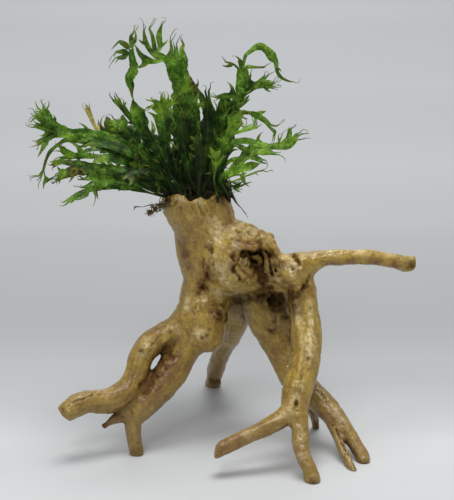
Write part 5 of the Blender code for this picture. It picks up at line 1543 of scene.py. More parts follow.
def fibre_relief(points):
    """Long fibres that follow each limb, run together where limbs meet."""
    weights = np.full((len(LIMBS), len(points)), -1e9)
    reliefs = np.zeros((len(LIMBS), len(points)))
    for number, sections in enumerate(LIMBS.values()):
        path = smooth_path(sections, PATH_STEPS)
        close = close_to(path, points, path[:, 3:].max() + REACH)
        gap, place = limb_coordinates(path, points[close])
        place[:, 0] += FIBRE_TWIST * place[:, 2] * math.sin(number)
        weights[number, close] = -gap / FIBRE_BLEND
        reliefs[number, close] = rough_noise(place * FIBRE_CELLS, FIBRE_SEED + number, 4)
    share = np.exp(weights - weights.max(axis=0))
    return (share * reliefs).sum(axis=0) / share.sum(axis=0)


def closeness(points, centre, reach):
    return np.exp(-((points - centre) ** 2).sum(axis=1) / reach ** 2)


def crack_depth(points, space):
    """How deep the cracks and pits cut into the surface at each point, in mm."""
    depth = np.zeros(len(points))
    sway = CRACK_WANDER * np.stack([patterned(points, kind) for kind in CRACK_SWAY], 1)
    broken = np.clip(0.75 + 1.1 * patterned(points, CRACK_GAPS), 0.15, 1)
    cracks = [(width, deep, seen(space, line)) for width, deep, line in CRACKS]
    for width, deep, line in cracks + FAR_CRACKS:
        line, _ = onto_wood(space, line)
        path = smooth_path([(*point, 0.0) for point in line], CRACK_STEPS)
        close = close_to(path, points, CRACK_MARGIN)
        gap, place = limb_coordinates(path, (points + sway)[close])
        along = place[:, 2]
        ends = np.clip(np.minimum(along, along.max(initial=0) - along) / 2 + 0.4, 0, 1)
        depth[close] = np.maximum(depth[close], deep * ends * broken[close] * np.exp(-(gap / width) ** 2))
    for *place, radius, deep in placed(space, PITS):
        depth = np.maximum(depth, deep * closeness(points + PIT_WANDER * sway, place, 1.2 * radius))
    return depth


def patch_strength(points, patches, edge):
    """How strongly a set of patches colours each point; edge roughens their outline."""
    total = np.zeros(len(points))
    for *place, reach, strength in patches:
        total = np.maximum(total, strength * closeness(points, place, reach))
    return np.clip(total * (1 + 0.9 * edge) + 0.25 * edge * (total > 0.05), 0, 1)


def vertex_normals(points, quads):
    corner = points[quads]
    face = np.cross(corner[:, 2] - corner[:, 0], corner[:, 3] - corner[:, 1])
    total = [np.bincount(quads.ravel(), np.repeat(face[:, axis], 4), len(points)) for axis in range(3)]
    total = np.stack(total, 1)
    return total / np.maximum(np.linalg.norm(total, axis=1), 1e-12)[:, None]


def relaxed(points, quads, rounds):
    """The points moved towards the middle of their neighbours, which evens out the steps of the grid."""
    near = quads.ravel()
    others = [np.roll(quads, turn, axis=1).ravel() for turn in (1, -1)]
    count = np.maximum(2 * np.bincount(near, minlength=len(points)), 1)[:, None]
    touched = np.zeros(len(points), bool)
    touched[near] = True
    for _ in range(rounds):
        total = np.stack([
            sum(np.bincount(near, points[other, axis], len(points)) for other in others) for axis in range(3)
        ], 1)
        points = np.where(touched[:, None], 0.5 * points + 0.5 * total / count, points)
    return points


def wood_relief(points, normals, space):
    """Move the surface by its lumps, fibres, cracks and pits; returns it with what colours it."""
    gnarl = closeness(points, *GNARL)
    fibres = fibre_relief(points)
    cut = crack_depth(points, space)
    folds = 0.5 - np.abs(patterned(points, FOLDS))
    bulge_height, fibre_height = (plain + more * gnarl for plain, more in (BULGE_HEIGHTS, FIBRE_HEIGHTS))
    lift = SWELL_HEIGHT * patterned(points, SWELLS) + bulge_height * patterned(points, BULGES)
    lift += FOLD_HEIGHT * gnarl * folds + fibre_height * fibres - cut
    lift += GRAIN_HEIGHT * patterned(points, GRAIN) - DENT_DEPTH * np.abs(patterned(points, DENTS))
    lift *= np.clip(points[:, 2] / FOOT_EASE, 0, 1)
    moved = points + normals * lift[:, None]
    moved[:, 2] = np.maximum(moved[:, 2], 0)
    # Painted shade: how closely nearby wood closes in on each point, near it and farther off
    closed, sheltered = (
        1 - np.clip(space.at(points + normals * reach) / reach, 0, 1) for reach in (OPEN_REACH, SHELTER_REACH)
    )
    # Darker in the cracks, and painted shade where nearby wood closes in and in the troughs of the folds
    cracks_and_crevice_shade = cut / 1.1 + 0.8 * closed ** 1.4 + 0.35 * sheltered ** 1.5 + 0.5 * gnarl * np.clip(-folds, 0, 1)
    tone = 0.5 + 0.5 * patterned(points, MOTTLE)
    mottle = np.stack([tone, 0.5 + 0.5 * fibres, np.clip(cracks_and_crevice_shade, 0, 1), np.ones(len(points))], 1)
    edge = patterned(points, PATCH_NOISE)
    patches = np.stack([
        patch_strength(points, placed(space, marks) + far, edge * ragged)
        for ragged, marks, far in PATCHES.values()
    ], 1)
    return moved, mottle, patches


def wood_pieces(space, finish):
    """The driftwood, one closed piece for each of its CAD nodes, with one shared surface where they meet."""
    points, faces, outer = surface_nets(space)
    skin = np.concatenate([quads[outer[owner]] for owner, quads in faces.items()])
    on_skin = np.zeros(len(points), bool)
    on_skin[skin] = True
    points = relaxed(points, skin, SKIN_ROUNDS)
    normals = vertex_normals(points, skin)
    moved = points.copy()
    mottle = np.ones((len(points), 4))
    patches = np.zeros((len(points), 4))
    moved[on_skin], mottle[on_skin], patches[on_skin] = wood_relief(points[on_skin], normals[on_skin], space)
    normals = vertex_normals(moved, skin)
    for owner, name in enumerate(WOOD_NODES, start=1):
        quads = faces[owner]
        used, local = np.unique(quads, return_inverse=True)
        piece = mesh_piece(name + "_wood", moved[used], local.reshape(quads.shape), finish)
        smooth_normals(piece.data, normals[used], outer[owner])
        colour_layer(piece.data, "mottle", mottle[used])
        colour_layer(piece.data, "patches", patches[used])
        place_piece(piece, "driftwood", name)


def add_object(name, data):
    made = bpy.data.objects.new(name, data)
    bpy.context.scene.collection.objects.link(made)
    return made


def mesh_piece(name, points, faces, finish):
    """An object whose mesh has these points, in mm, and faces."""
    mesh = bpy.data.meshes.new(name)
    mesh.from_pydata(np.asarray(points) * MM, [], faces.tolist() if hasattr(faces, "tolist") else faces)
    mesh.shade_smooth()
    mesh.materials.append(finish)
    return add_object(name, mesh)


def smooth_normals(mesh, normals, on_skin):
    """Shade the skin by its own normals, so that no border between pieces shows, and the inner faces flat."""
    corners = np.zeros(len(mesh.loops), np.int32)
    mesh.loops.foreach_get("vertex_index", corners)
    flat = np.zeros((len(mesh.polygons), 3), np.float32)
    mesh.polygons.foreach_get("normal", flat.ravel())
    chosen = np.where(np.repeat(on_skin, 4)[:, None], normals[corners], np.repeat(flat, 4, axis=0))
    mesh.normals_split_custom_set(chosen)


def colour_layer(mesh, name, values):
    layer = mesh.attributes.new(name, "FLOAT_COLOR", "POINT")
    layer.data.foreach_set("color", np.asarray(values, np.float32).ravel())


def place_piece(piece, slot, *nodes):
    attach(piece, "root")
    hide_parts(*nodes)


def even_path(sections, gap):
    """A smooth path through the sections with places an even gap apart."""
    path = smooth_path(sections, LEAF_STEPS)
    reach = np.concatenate([[0], np.cumsum(np.linalg.norm(np.diff(path[:, :3], axis=0), axis=1))])
    count = max(int(round(reach[-1] / gap)), 3)
    stops = np.linspace(0, reach[-1], count + 1)
    return np.column_stack([np.interp(stops, reach, column) for column in path.T]), stops


def path_sides(path, stops, facing, first_side):
    """The way across and the way out of a leaf along its path; the first side turns gently into the rest."""
    run = unit(np.gradient(path[:, :3], axis=0))
    side = unit(np.cross(run, facing))
    for i in range(1, len(side)):
        if side[i] @ side[i - 1] < -0.2:
            side[i] = side[i - 1]
    for _ in range(4):
        side[1:-1] = unit(side[:-2] + 2 * side[1:-1] + side[2:])
    if first_side is not None:
        share = np.clip(stops / SIDE_EASE, 0, 1)[:, None]
        side = unit(first_side * (1 - share) + side * share)
    side = unit(side - run * (side * run).sum(axis=1)[:, None])
    return run, side, np.cross(side, run)


def turned(side, out, angle):
    """Two ways that stand square to each other, turned together by an angle."""
    return side * np.cos(angle) + out * np.sin(angle), out * np.cos(angle) - side * np.sin(angle)


def wave(stops, length, seed):
    """A wandering value along a leaf, about -1 to 1."""
    lines = np.column_stack([stops / length, np.full_like(stops, seed * 0.37), np.zeros_like(stops)])
    return rough_noise(lines, seed, 2)


class Leaf:
    """A frond under construction: one sheet of quads whose points keep what thickens and colours them."""

    def __init__(self, name, plan, seed):
        self.name = name
        self.seed = seed
        self.rng = np.random.default_rng(seed)
        self.facing = unit(np.array(plan["facing"], float))
        self.fold = self.rng.uniform(*FOLD)
        self.droop = self.rng.uniform(*DROOP)
        self.points = []
        self.marks = []
        self.quads = []
        self.count = 0

    def add_row(self, places, marks):
        """Add points in a row and return their numbers."""
        self.points.append(places)
        self.marks.append(marks)
        self.count += len(places)
        return np.arange(self.count - len(places), self.count)

    def join(self, row, after):
        self.quads.append(np.stack([row[:-1], row[1:], after[1:], after[:-1]], 1))

    def places(self):
        return np.concatenate(self.points)

    def part(self, row, index, count):
        """One of the equal parts of a row, with its middle and its width."""
        share = (len(row) - 1) // count
        part = row[index * share:index * share + share + 1]
        ends = self.places()[part]
        return part, ends.mean(axis=0), np.linalg.norm(ends[-1] - ends[0])

    def sway(self, stops, ruffle, twisted):
        """How far the blade turns about its own run along the way."""
        most = SHARED_SWAY if self.name.endswith("_shared") else SWAY
        sway = most * ruffle * wave(stops, 20, self.seed + 3) * np.clip(stops / 25, 0, 1)
        if twisted and self.name in TWISTS:
            first, last, angle = TWISTS[self.name]
            sway = 0.3 * sway + angle * np.clip((stops / stops[-1] - first) / (last - first), 0, 1)
        return sway[:, None]

    def strip(self, row, sections, along, facing, gap=ROW_GAP, ruffle=1.0, quads=None):
        """Grow the sheet along sections, from a row of its points or from nothing; returns rows and ways."""
        path, stops = even_path(sections, gap)
        first_side = None
        if row is not None:
            ends = self.places()[[row[0], row[-1]]]
            first_side = unit(ends[1] - ends[0])
        run, side, out = path_sides(path, stops, facing, first_side)
        side, out = turned(side, out, self.sway(stops, ruffle, row is None))
        across = np.linspace(-1, 1, len(row) if row is not None else quads + 1)
        half = path[:, 3:] / 2
        leafy = np.clip((half - 0.9) / 1.6, 0, 1)
        left, right, shift = (
            wave(stops, length, self.seed + number)[:, None]
            for number, length in enumerate((MARGIN_WAVE, MARGIN_WAVE, RIPPLE_DRIFT))
        )
        wide = half * across * (1 + (0.08 + 0.2 * leafy) * np.where(across < 0, left, right))
        ripple = stops[:, None] / (RIPPLE + 1.2 * half.max()) + np.where(across < 0, 0.0, 0.4) + 1.2 * shift
        lift = half * (self.fold * np.abs(across) - self.droop * across ** 2)
        lift = lift + ruffle * 0.22 * half * np.abs(across) ** 1.6 * np.sin(2 * math.pi * ripple)
        for number, (length, width, slip, height) in enumerate(CRINKLES):
            spots = np.stack(np.broadcast_arrays(stops[:, None] / length, wide / width, self.seed * slip), -1)
            lift = lift + height * noise(spots.reshape(-1, 3), self.seed + 5 + number).reshape(lift.shape)
        lift = leafy * lift
        places = path[:, None, :3] + side[:, None] * wide[..., None] + out[:, None] * lift[..., None]
        start, end = along
        share = (start + (end - start) * stops / stops[-1])[:, None]
        marks = (share, np.abs(across), stops[:, None] + 60 * start, np.abs(wide))
        marks = np.stack(np.broadcast_arrays(*marks), -1)
        rows = [row if row is not None else self.add_row(places[0], marks[0])]
        for place, mark in zip(places[1:], marks[1:]):
            rows.append(self.add_row(place, mark))
            self.join(rows[-2], rows[-1])
        return rows, run, side, out

    def divide(self, row, lobes, along):
        """Share a row of points among lobes and grow each of them."""
        middle = (along[0] + along[1]) / 2
        for index, sections in enumerate(lobes):
            part, place, width = self.part(row, index, len(lobes))
            start = (*place, width)
            if len(sections) == 1:
                tip = (*sections[0][:3], TIP_WIDTH)
                self.strip(part, [start, tip], along, self.facing, SPRIG_GAP, TIP_RUFFLE)
                continue
            blade = [start, *sections[:-1]]
            grown = self.strip(part, blade, (along[0], middle), self.facing, ruffle=LOBE_RUFFLE)
            small, count = LOBE_TIPS.get(self.name, (2, 2))
            self.sprigs(grown, 0.2, self.rng.integers(0, small + 1), (middle, 1.0))
            self.prongs(grown, sections[-2:], (middle, 1.0), count)

    def prongs(self, grown, sections, along, count):
        """Split the end of a lobe into thin curled prongs: one runs to the given tip, others beside it."""
        row, _, side, out = (ways[-1] for ways in grown)
        base, end = (np.array(section[:3], float) for section in sections)
        ahead = end - base
        order = self.rng.permutation(count)
        for index in range(count):
            part, start, width = self.part(row, index, count)
            main = order[index] == 0
            if main:
                goal = end
            else:
                turn = (2 * (index + 0.5) / count - 1) * self.rng.uniform(*PRONG_TURN)
                reach = np.linalg.norm(ahead) * self.rng.uniform(*PRONG_REACH)
                goal = start + reach * (unit(ahead) * math.cos(turn) + side * math.sin(turn))
            way = unit(goal - start)
            reach = np.linalg.norm(goal - start)
            bow = (side * self.rng.uniform(*PRONG_BOW) + out * self.rng.uniform(*PRONG_BOW)) * reach
            thin = max(min(width * 0.6, sections[-1][3] * 0.9), 0.38)
            strip = [(*start, width), (*((start + goal) / 2 + bow), thin), (*goal, max(thin * 0.7, 0.3))]
            hook = unit(side * self.rng.choice((-1.0, 1.0)) + out * self.rng.uniform(*PRONG_HOOK))
            curl = self.rng.uniform(*(MAIN_CURL if main else SIDE_CURL))
            bend = self.rng.uniform(*PRONG_BEND)
            place = goal
            for step in (1, 2, 3):
                place = place + curl * (way * math.cos(bend * step) + hook * math.sin(bend * step))
                strip.append((*place, max(0.32 - 0.06 * step, TIP_WIDTH)))
            self.strip(part, strip, along, self.facing, SPRIG_GAP, PRONG_RUFFLE)

    def sprigs(self, grown, first, count, along):
        """Small pointed side lobes from the margins, beyond the first share of the rows."""
        rows, run, side, out = grown
        usable = np.arange(int(len(rows) * first) + 1, len(rows) - 5)
        if len(usable) < 2:
            return
        taken = set()
        places = self.places()
        for _ in range(count):
            at = int(self.rng.choice(usable))
            edge = int(self.rng.integers(2))
            span = range(int(self.rng.integers(*SPRIG_ROWS)) + 1)
            if any((at + step, edge) in taken for step in span):
                continue
            taken.update((at + step, edge) for step in span)
            margin = [rows[at + step][-edge] for step in span]
            row = np.array(margin[::-1] if edge else margin)
            start = places[row].mean(axis=0)
            base = np.linalg.norm(places[row[0]] - places[row[-1]])
            lean = self.rng.uniform(*SPRIG_LEAN)
            way = side[at] * (1 if edge else -1) * math.cos(lean) + run[at] * math.sin(lean)
            way = unit(way + out[at] * self.rng.uniform(*SPRIG_OUT))
            share, more = (self.rng.uniform(*limits) for limits in SPRIG_LENGTHS)
            length = share * base + more
            forward, outward = (self.rng.uniform(*limits) for limits in SPRIG_BENDS)
            bend = unit(run[at] * forward + out[at] * outward)
            strip = [
                (*(start + length * (way * ahead + bend * aside)), width)
                for (ahead, aside), width in zip(SPRIG, (base, base * 0.55, base * 0.25, TIP_WIDTH))
            ]
            self.strip(row, strip, along, out[at], SPRIG_GAP, 0.0)

    def grow(self, plan):
        """The whole frond: the blade, its lobes or prongs, and small side lobes near its end."""
        blade_share, lobe_share = WIDER.get(self.name, (1, 1))
        blade = [(*place, width * (blade_share if width > 2 else 1)) for *place, width in plan["blade"]]
        lobes = [[(*place, width * lobe_share) for *place, width in lobe] for lobe in plan["lobes"]]
        if self.name in TWISTS:
            lobes.reverse()
        plain = self.name in PLAIN_TIPS or (self.name == "young" and self.rng.random() < YOUNG_PLAIN)
        if lobes:
            quads = max(len(lobes) * LOBE_QUADS, PLAIN_QUADS)
            grown = self.strip(None, blade, (0.0, LOBES_FROM), self.facing, quads=quads)
            last = grown[0][-1][:len(lobes) * LOBE_QUADS + 1]
            if self.name not in SMOOTH_BLADES:
                self.sprigs(grown, 0.7, self.rng.integers(0, 4), (0.8, 1.0))
            self.divide(last, lobes, (LOBES_FROM, 1.0))
        elif plain:
            tip = (*blade[-1][:3], TIP_WIDTH)
            grown = self.strip(None, [*blade[:-1], tip], (0.0, 1.0), self.facing, quads=PLAIN_QUADS)
            self.sprigs(grown, 0.5, self.rng.integers(2, 6), (0.9, 1.0))
        else:
            grown = self.strip(None, blade[:-1], (0.0, PRONGS_FROM), self.facing, quads=PLAIN_QUADS)
            self.sprigs(grown, 0.5, self.rng.integers(5, 11), (0.85, 1.0))
            self.prongs(grown, blade[-2:], (PRONGS_FROM, 1.0), BLADE_PRONGS)


def thicken(points, quads, thickness):
    """Both faces of a sheet and its rim as one closed surface, with normals and what belongs to the faces."""
    ways = vertex_normals(points, quads)
    front = points + ways * (0.35 * thickness)[:, None]
    back = points - ways * (0.65 * thickness)[:, None]
    count = len(points)
    edges = np.concatenate([quads[:, [i, (i + 1) % 4]] for i in range(4)]).astype(np.int64)
    key = edges[:, 0] * count + edges[:, 1]
    rim = edges[~np.isin(key, edges[:, 1] * count + edges[:, 0])]
    a, b = rim.T
    faces = np.concatenate([quads, quads[:, ::-1] + count, np.stack([b, a, a + count, b + count], 1)])
    normals = np.concatenate([vertex_normals(front, quads), -vertex_normals(back, quads)])
    broad = np.arange(len(faces)) < 2 * len(quads)
    return np.concatenate([front, back]), faces, normals, broad


def picture_places(points):
    """The column and row at which the camera sees each point."""
    off = points - np.array(CAMERA)
    ahead = off[:, 1] * math.cos(PITCH) - off[:, 2] * math.sin(PITCH)
    up = off[:, 1] * math.sin(PITCH) + off[:, 2] * math.cos(PITCH)
    return np.column_stack([PICTURE[0] / 2 + FOCAL * off[:, 0] / ahead, PICTURE[1] / 2 - FOCAL * up / ahead])


def mark_strength(places, marks, edge):
    total = np.zeros(len(places))
    for *mark, reach, strength in marks:
        total = np.maximum(total, strength * closeness(places, mark, reach))
    return np.clip(total * (1 + MARK_RAGGED * edge), 0, 1)


def companion(plan, rng):
    """A younger leaf beside a frond: smaller, narrower, and turned about the frond's foot."""
    size, narrow = rng.uniform(*YOUNG_SIZE), rng.uniform(*YOUNG_WIDTH)
    turn = math.radians(rng.uniform(*YOUNG_TURN)) * rng.choice((-1, 1))
    foot = np.array(plan["blade"][0][:3], float)
    shift = np.array([rng.uniform(*limits) for limits in YOUNG_SHIFT] + [0])
    lean = np.array([rng.uniform(*limits) for limits in YOUNG_LEAN] + [0])
    cosine, sine = math.cos(turn), math.sin(turn)
    about_foot = np.array(((cosine, -sine, 0), (sine, cosine, 0), (0, 0, 1)))
    sections = []
    for *place, width in plan["blade"]:
        off = about_foot @ (np.array(place) - foot) * size
        moved = foot + shift + off + lean * max(off[2], 0) - (0, 0, YOUNG_DEPTH)
        sections.append((*moved, max(width * narrow, 1.0)))
    facing = about_foot @ np.array(plan["facing"], float) + rng.normal(size=3) * YOUNG_FACING
    return {"facing": tuple(facing), "blade": sections, "lobes": []}


def leaf_surface(name, plan, seed, tone):
    """One leaf as a closed surface, with its colour layers."""
    leaf = Leaf(name, plan, seed)
    leaf.grow(plan)
    points, quads, marks = leaf.places(), np.concatenate(leaf.quads), np.concatenate(leaf.marks)
    along, across, reach, off = marks.T
    rib = RIB_HEIGHT * np.exp(-(off / RIB_WIDTH) ** 2) * np.clip(1 - 0.8 * along, 0.12, 1)
    surface = thicken(points, quads, SHEET + rib)
    places = picture_places(points)
    edge = patterned(points, LEAF_EDGES)
    # Marks of painted light, painted shade and the brown of decay, by where each point lies in the picture
    light, dark, brown = (mark_strength(places, table, edge) for table in (LEAF_PAINTED_LIGHT, LEAF_PAINTED_SHADE, LEAF_BROWN))
    begins = BROWNING.get(name.removesuffix("_shared"), NEVER)
    aged = np.clip((along - begins) / BROWN_EASE + MARK_RAGGED * edge, 0, 1) * (along > begins - 0.1)
    brown = np.maximum(brown, aged)
    level = tone + CLOUD_TONE * patterned(points, LEAF_CLOUDS) + PAINTED_LIGHT_TONE * light - PAINTED_SHADE_TONE * dark
    look = np.column_stack([along, across, np.clip(level, 0, 1), brown])
    lines = np.column_stack([reach / 100, off / 10, light, np.ones(len(points))])
    return *surface, np.concatenate([look, look]), np.concatenate([lines, lines])


def frond_piece(name, plan, seed, finish, slot):
    """A frond, the leaves that share its foot, and the younger leaves that grow beside it."""
    tone = TONES.get(name, USUAL_TONE)
    leaves = [leaf_surface(name, plan, seed, tone)]
    for number, (facing, blade) in enumerate(SHARED_LEAVES.get(name, [])):
        shared = {"facing": facing, "blade": blade, "lobes": []}
        leaves.append(leaf_surface(name + "_shared", shared, seed + 61 + number, tone * SHARED_TONE))
    rng = np.random.default_rng(seed + 7)
    for number in range(COMPANIONS.get(name, USUAL_COMPANIONS)):
        leaves.append(leaf_surface("young", companion(plan, rng), seed + 101 + number, tone * YOUNG_TONE))
    starts = np.cumsum([0] + [len(leaf[0]) for leaf in leaves])
    solid, faces, normals, broad, look, lines = (
        np.concatenate([leaf[i] + start if i == 1 else leaf[i] for leaf, start in zip(leaves, starts)])
        for i in range(6)
    )
    piece = mesh_piece(name + "_leaf", solid, faces, finish)
    smooth_normals(piece.data, normals, broad)
    colour_layer(piece.data, "leaf", look)
    colour_layer(piece.data, "lines", lines)
    place_piece(piece, slot, name)


def fronds():
    finishes = {slot: leaf_finish(slot + "_look", lift) for slot, lift in LEAF_LIFTS.items()}
    for number, (name, plan) in enumerate(FRONDS.items()):
        slot = FROND_SLOTS.get(name, "frond_green")
        frond_piece(name, plan, 300 + 17 * number, finishes[slot], slot)


class Strands:
    """Closed tapered tubes gathered into one mesh, each point with its tint."""

    def __init__(self):
        self.points = []
        self.faces = []
        self.tints = []
        self.count = 0

    def add(self, path, sides, tint, rough=0.0, seed=0):
        """One tube with pointed ends along places and radii."""
        path = np.asarray(path, float)
        run = unit(np.gradient(path[:, :3], axis=0))
        side = unit(np.cross(run, STRAND_FACING))
        out = np.cross(side, run)
        turn = np.arange(sides) * 2 * math.pi / sides
        ring = side[:, None] * np.cos(turn)[:, None] + out[:, None] * np.sin(turn)[:, None]
        radius = np.broadcast_to(path[:, 3:], ring.shape[:2])
        places = path[:, None, :3] + ring * radius[..., None]
        if rough:
            bumps = rough_noise(places.reshape(-1, 3) / STRAND_BUMP, seed, 2).reshape(radius.shape)
            places = places + ring * (rough * bumps)[..., None]
        ends = path[[0, -1], :3] + (run[[0, -1]] * ((-1,), (1,))) * path[[0, -1], 3:] * STRAND_END
        near = self.count + np.arange(len(path) - 1)[:, None] * sides + np.arange(sides)
        after = np.roll(near, -1, axis=1)
        self.faces += np.stack([near + sides, after + sides, after, near], -1).reshape(-1, 4).tolist()
        last = self.count + len(path) * sides
        for i in range(sides):
            j = (i + 1) % sides
            self.faces.append((self.count + i, self.count + j, last))
            self.faces.append((last - sides + j, last - sides + i, last + 1))
        self.points += [places.reshape(-1, 3), ends]
        self.count = last + 2
        self.tints.append(np.tile((*tint, 0.0, 1.0), (len(path) * sides + 2, 1)))

    def piece(self, name, finish, node):
        made = mesh_piece(name, np.concatenate(self.points), self.faces, finish)
        colour_layer(made.data, "tint", np.concatenate(self.tints))
        place_piece(made, "rhizome_skin", node)


def wander(rng, start, way, length, radius, sway=0.5):
    """A wiry path that wanders from its start and thins out."""
    steps = max(int(length / WANDER_STEP), 4)
    place, way = np.array(start, float), unit(np.array(way, float))
    path = []
    for step in range(steps + 1):
        path.append((*place, radius * (1 - 0.75 * step / steps)))
        way = unit(way + rng.normal(size=3) * sway * 0.5)
        place = place + way * length / steps
    return smooth_path(path, 2)


def cling(space, path, lift):
    """Lay a path down on the driftwood."""
    places, out = onto_wood(space, path[:, :3])
    resting = places + out * (lift + path[:, 3:] * STRAND_LIFT)
    near = np.clip(1 - (space.at(path[:, :3]) - 2) / 5, 0, 1)[:, None]
    return np.column_stack([path[:, :3] * (1 - near) + resting * near, path[:, 3]])


def rhizome(space, finish):
    """The creeping stem, its fuzz of hairs, and the mat of rootlets by which it holds to the stump."""
    rng = np.random.default_rng(41)
    strands = Strands()
    path = smooth_path(STEMS["rhizome"], 8)
    strands.add(path, 14, (0.05, 0.2), rough=0.7, seed=8)
    for _ in range(STEM_HAIRS):
        at = path[rng.integers(len(path) - 1)]
        way = unit(rng.normal(size=3) + (0, 0, 0.2))
        hair = wander(rng, at[:3] + way * at[3] * 0.6, way, rng.uniform(1.5, 4.5), 0.13)
        strands.add(hair, 3, (rng.uniform(0, 0.4), 0))
    for _ in range(ROOTLETS):
        angle = rng.uniform(0, 2 * math.pi)
        reach = math.sqrt(rng.uniform(0, 1))
        x = MAT_CENTRE[0] + MAT_REACH[0] * reach * math.cos(angle)
        y = MAT_CENTRE[1] + MAT_REACH[1] * reach * math.sin(angle)
        heading = rng.uniform(0, 2 * math.pi)
        way = (math.cos(heading), math.sin(heading), 0)
        root = wander(rng, (x, y, MAT_HEIGHT), way, rng.uniform(6, 17), rng.uniform(0.22, 0.5), 0.55)
        root[:, 0] = MAT_EDGES[0] - np.abs(root[:, 0] - MAT_EDGES[0])
        root[:, 1] = MAT_EDGES[1] + np.abs(root[:, 1] - MAT_EDGES[1])
        root = cling(space, root, rng.uniform(0, 1.4))
        strands.add(root, 5, (rng.uniform(0, 0.55) ** 2, rng.uniform(0, 0.3)))
    for x, y, z, width in (plan["blade"][0] for plan in FRONDS.values()):
        clump = [(x, y, z + rise, width / 2 * share) for rise, share in CLUMP]
        strands.add(smooth_path(clump, 3), 8, (0.05, 0.25), rough=0.4, seed=int(90 + x))
    strands.piece("rhizome_and_rootlets", finish, "rhizome")


def root_tuft(finish):
    """The brown tuft at the left of the rim: short threads, some of them pale, and one long wiry root."""
    rng = np.random.default_rng(52)
    strands = Strands()
    for *knot, radius in TUFT_KNOTS:
        for _ in range(KNOT_THREADS):
            way = unit(rng.normal(size=3) * (1, 0.8, 1) + (-0.5, 0, -0.1))
            tint = rng.uniform(0, 1) ** 0.6
            start = np.array(knot) + rng.normal(size=3) * radius * 0.35
            thread = wander(rng, start, way, rng.uniform(1.5, 1 + 1.7 * radius), rng.uniform(0.18, 0.42))
            strands.add(thread, 4, (tint, 0.3))
    for places in TUFT_ROOTS:
        strands.add(smooth_path(places, 5), 5, (0.35, 0), rough=0.15, seed=3)
    strands.piece("root_tuft_threads", finish, "root_tuft_left")


def root_thread(finish):
    """The thin root that hangs from the end of the creeping stem, and its hairs."""
    rng = np.random.default_rng(63)
    strands = Strands()
    path = smooth_path(THREAD_ROOT, 6)
    strands.add(path, 6, (0.1, 0.1), rough=0.1, seed=5)
    for _ in range(THREAD_HAIRS):
        at = path[rng.integers(0, len(path) // 2)]
        way = unit(rng.normal(size=3))
        strands.add(wander(rng, at[:3], way, rng.uniform(0.8, 2.4), 0.09), 3, (0.1, 0))
    strands.piece("root_thread_hairs", finish, "root_thread_right")


class Finish:
    """A material under construction: each call adds a node and returns its output."""

    def __init__(self, name):
        self.material = bpy.data.materials.new(name)
        self.material.use_nodes = True
        self.tree = self.material.node_tree
        self.shader = self.tree.nodes["Principled BSDF"]

    def set(self, socket, value):
        if isinstance(value, bpy.types.NodeSocket):
            self.tree.links.new(value, socket)
        else:
            socket.default_value = value

    def surface(self, **values):
        for name, value in values.items():
            self.set(self.shader.inputs[name.replace("_", " ")], value)

    def node(self, kind, values, settings=None):
        made = self.tree.nodes.new("ShaderNode" + kind)
        for name, value in (settings or {}).items():
            setattr(made, name, value)
        for key, value in values.items():
            self.set(made.inputs[key], value)
        return made

    def place(self):
        return self.node("TexCoord", {}).outputs["Object"]

    def layer(self, name):
        """The channels of a colour layer on the mesh: three, and the fourth."""
        attribute = self.node("Attribute", {}, {"attribute_name": name})
        split = self.node("SeparateColor", {"Color": attribute.outputs["Color"]})
        return [*split.outputs, attribute.outputs["Alpha"]]

    def noise(self, place, scale, detail=4.0, roughness=0.55, distortion=0.0):
        values = {"Vector": place, "Scale": scale, "Detail": detail, "Roughness": roughness}
        return self.node("TexNoise", {**values, "Distortion": distortion}).outputs["Fac"]

    def cells(self, place, scale, feature="DISTANCE_TO_EDGE"):
        values = {"Vector": place, "Scale": scale}
        return self.node("TexVoronoi", values, {"feature": feature}).outputs["Distance"]

    def math(self, operation, a, b, clamp=False):
        return self.node("Math", {0: a, 1: b}, {"operation": operation, "use_clamp": clamp}).outputs[0]

    def times(self, a, b):
        return self.math("MULTIPLY", a, b)

    def spread(self, value, low, high, to_low=0.0, to_high=1.0, curve="SMOOTHSTEP"):
        """The value moved from one range to another, kept inside it."""
        values = {"Value": value, "From Min": low, "From Max": high, "To Min": to_low, "To Max": to_high}
        return self.node("MapRange", values, {"interpolation_type": curve}).outputs["Result"]

    def mix(self, share, a, b):
        return self.node("Mix", {0: share, 6: a, 7: b}, {"data_type": "RGBA", "blend_type": "MIX"}).outputs[2]

    def stain(self, colour, share, strength, other):
        """The colour with another over it, as strongly as a share and a strength say."""
        return self.mix(self.times(share, strength), colour, other)

    def bump(self, height, distance, strength, over=None):
        values = {"Height": height, "Distance": distance, "Strength": strength}
        if over is not None:
            values["Normal"] = over
        return self.node("Bump", values).outputs["Normal"]


def paint(red, green, blue):
    """A display colour, 0 to 255 a channel, as a linear one."""
    share = (np.array((red, green, blue)) / 255 + 0.055) / 1.055
    return (*(float(s) for s in share ** 2.4), 1.0)


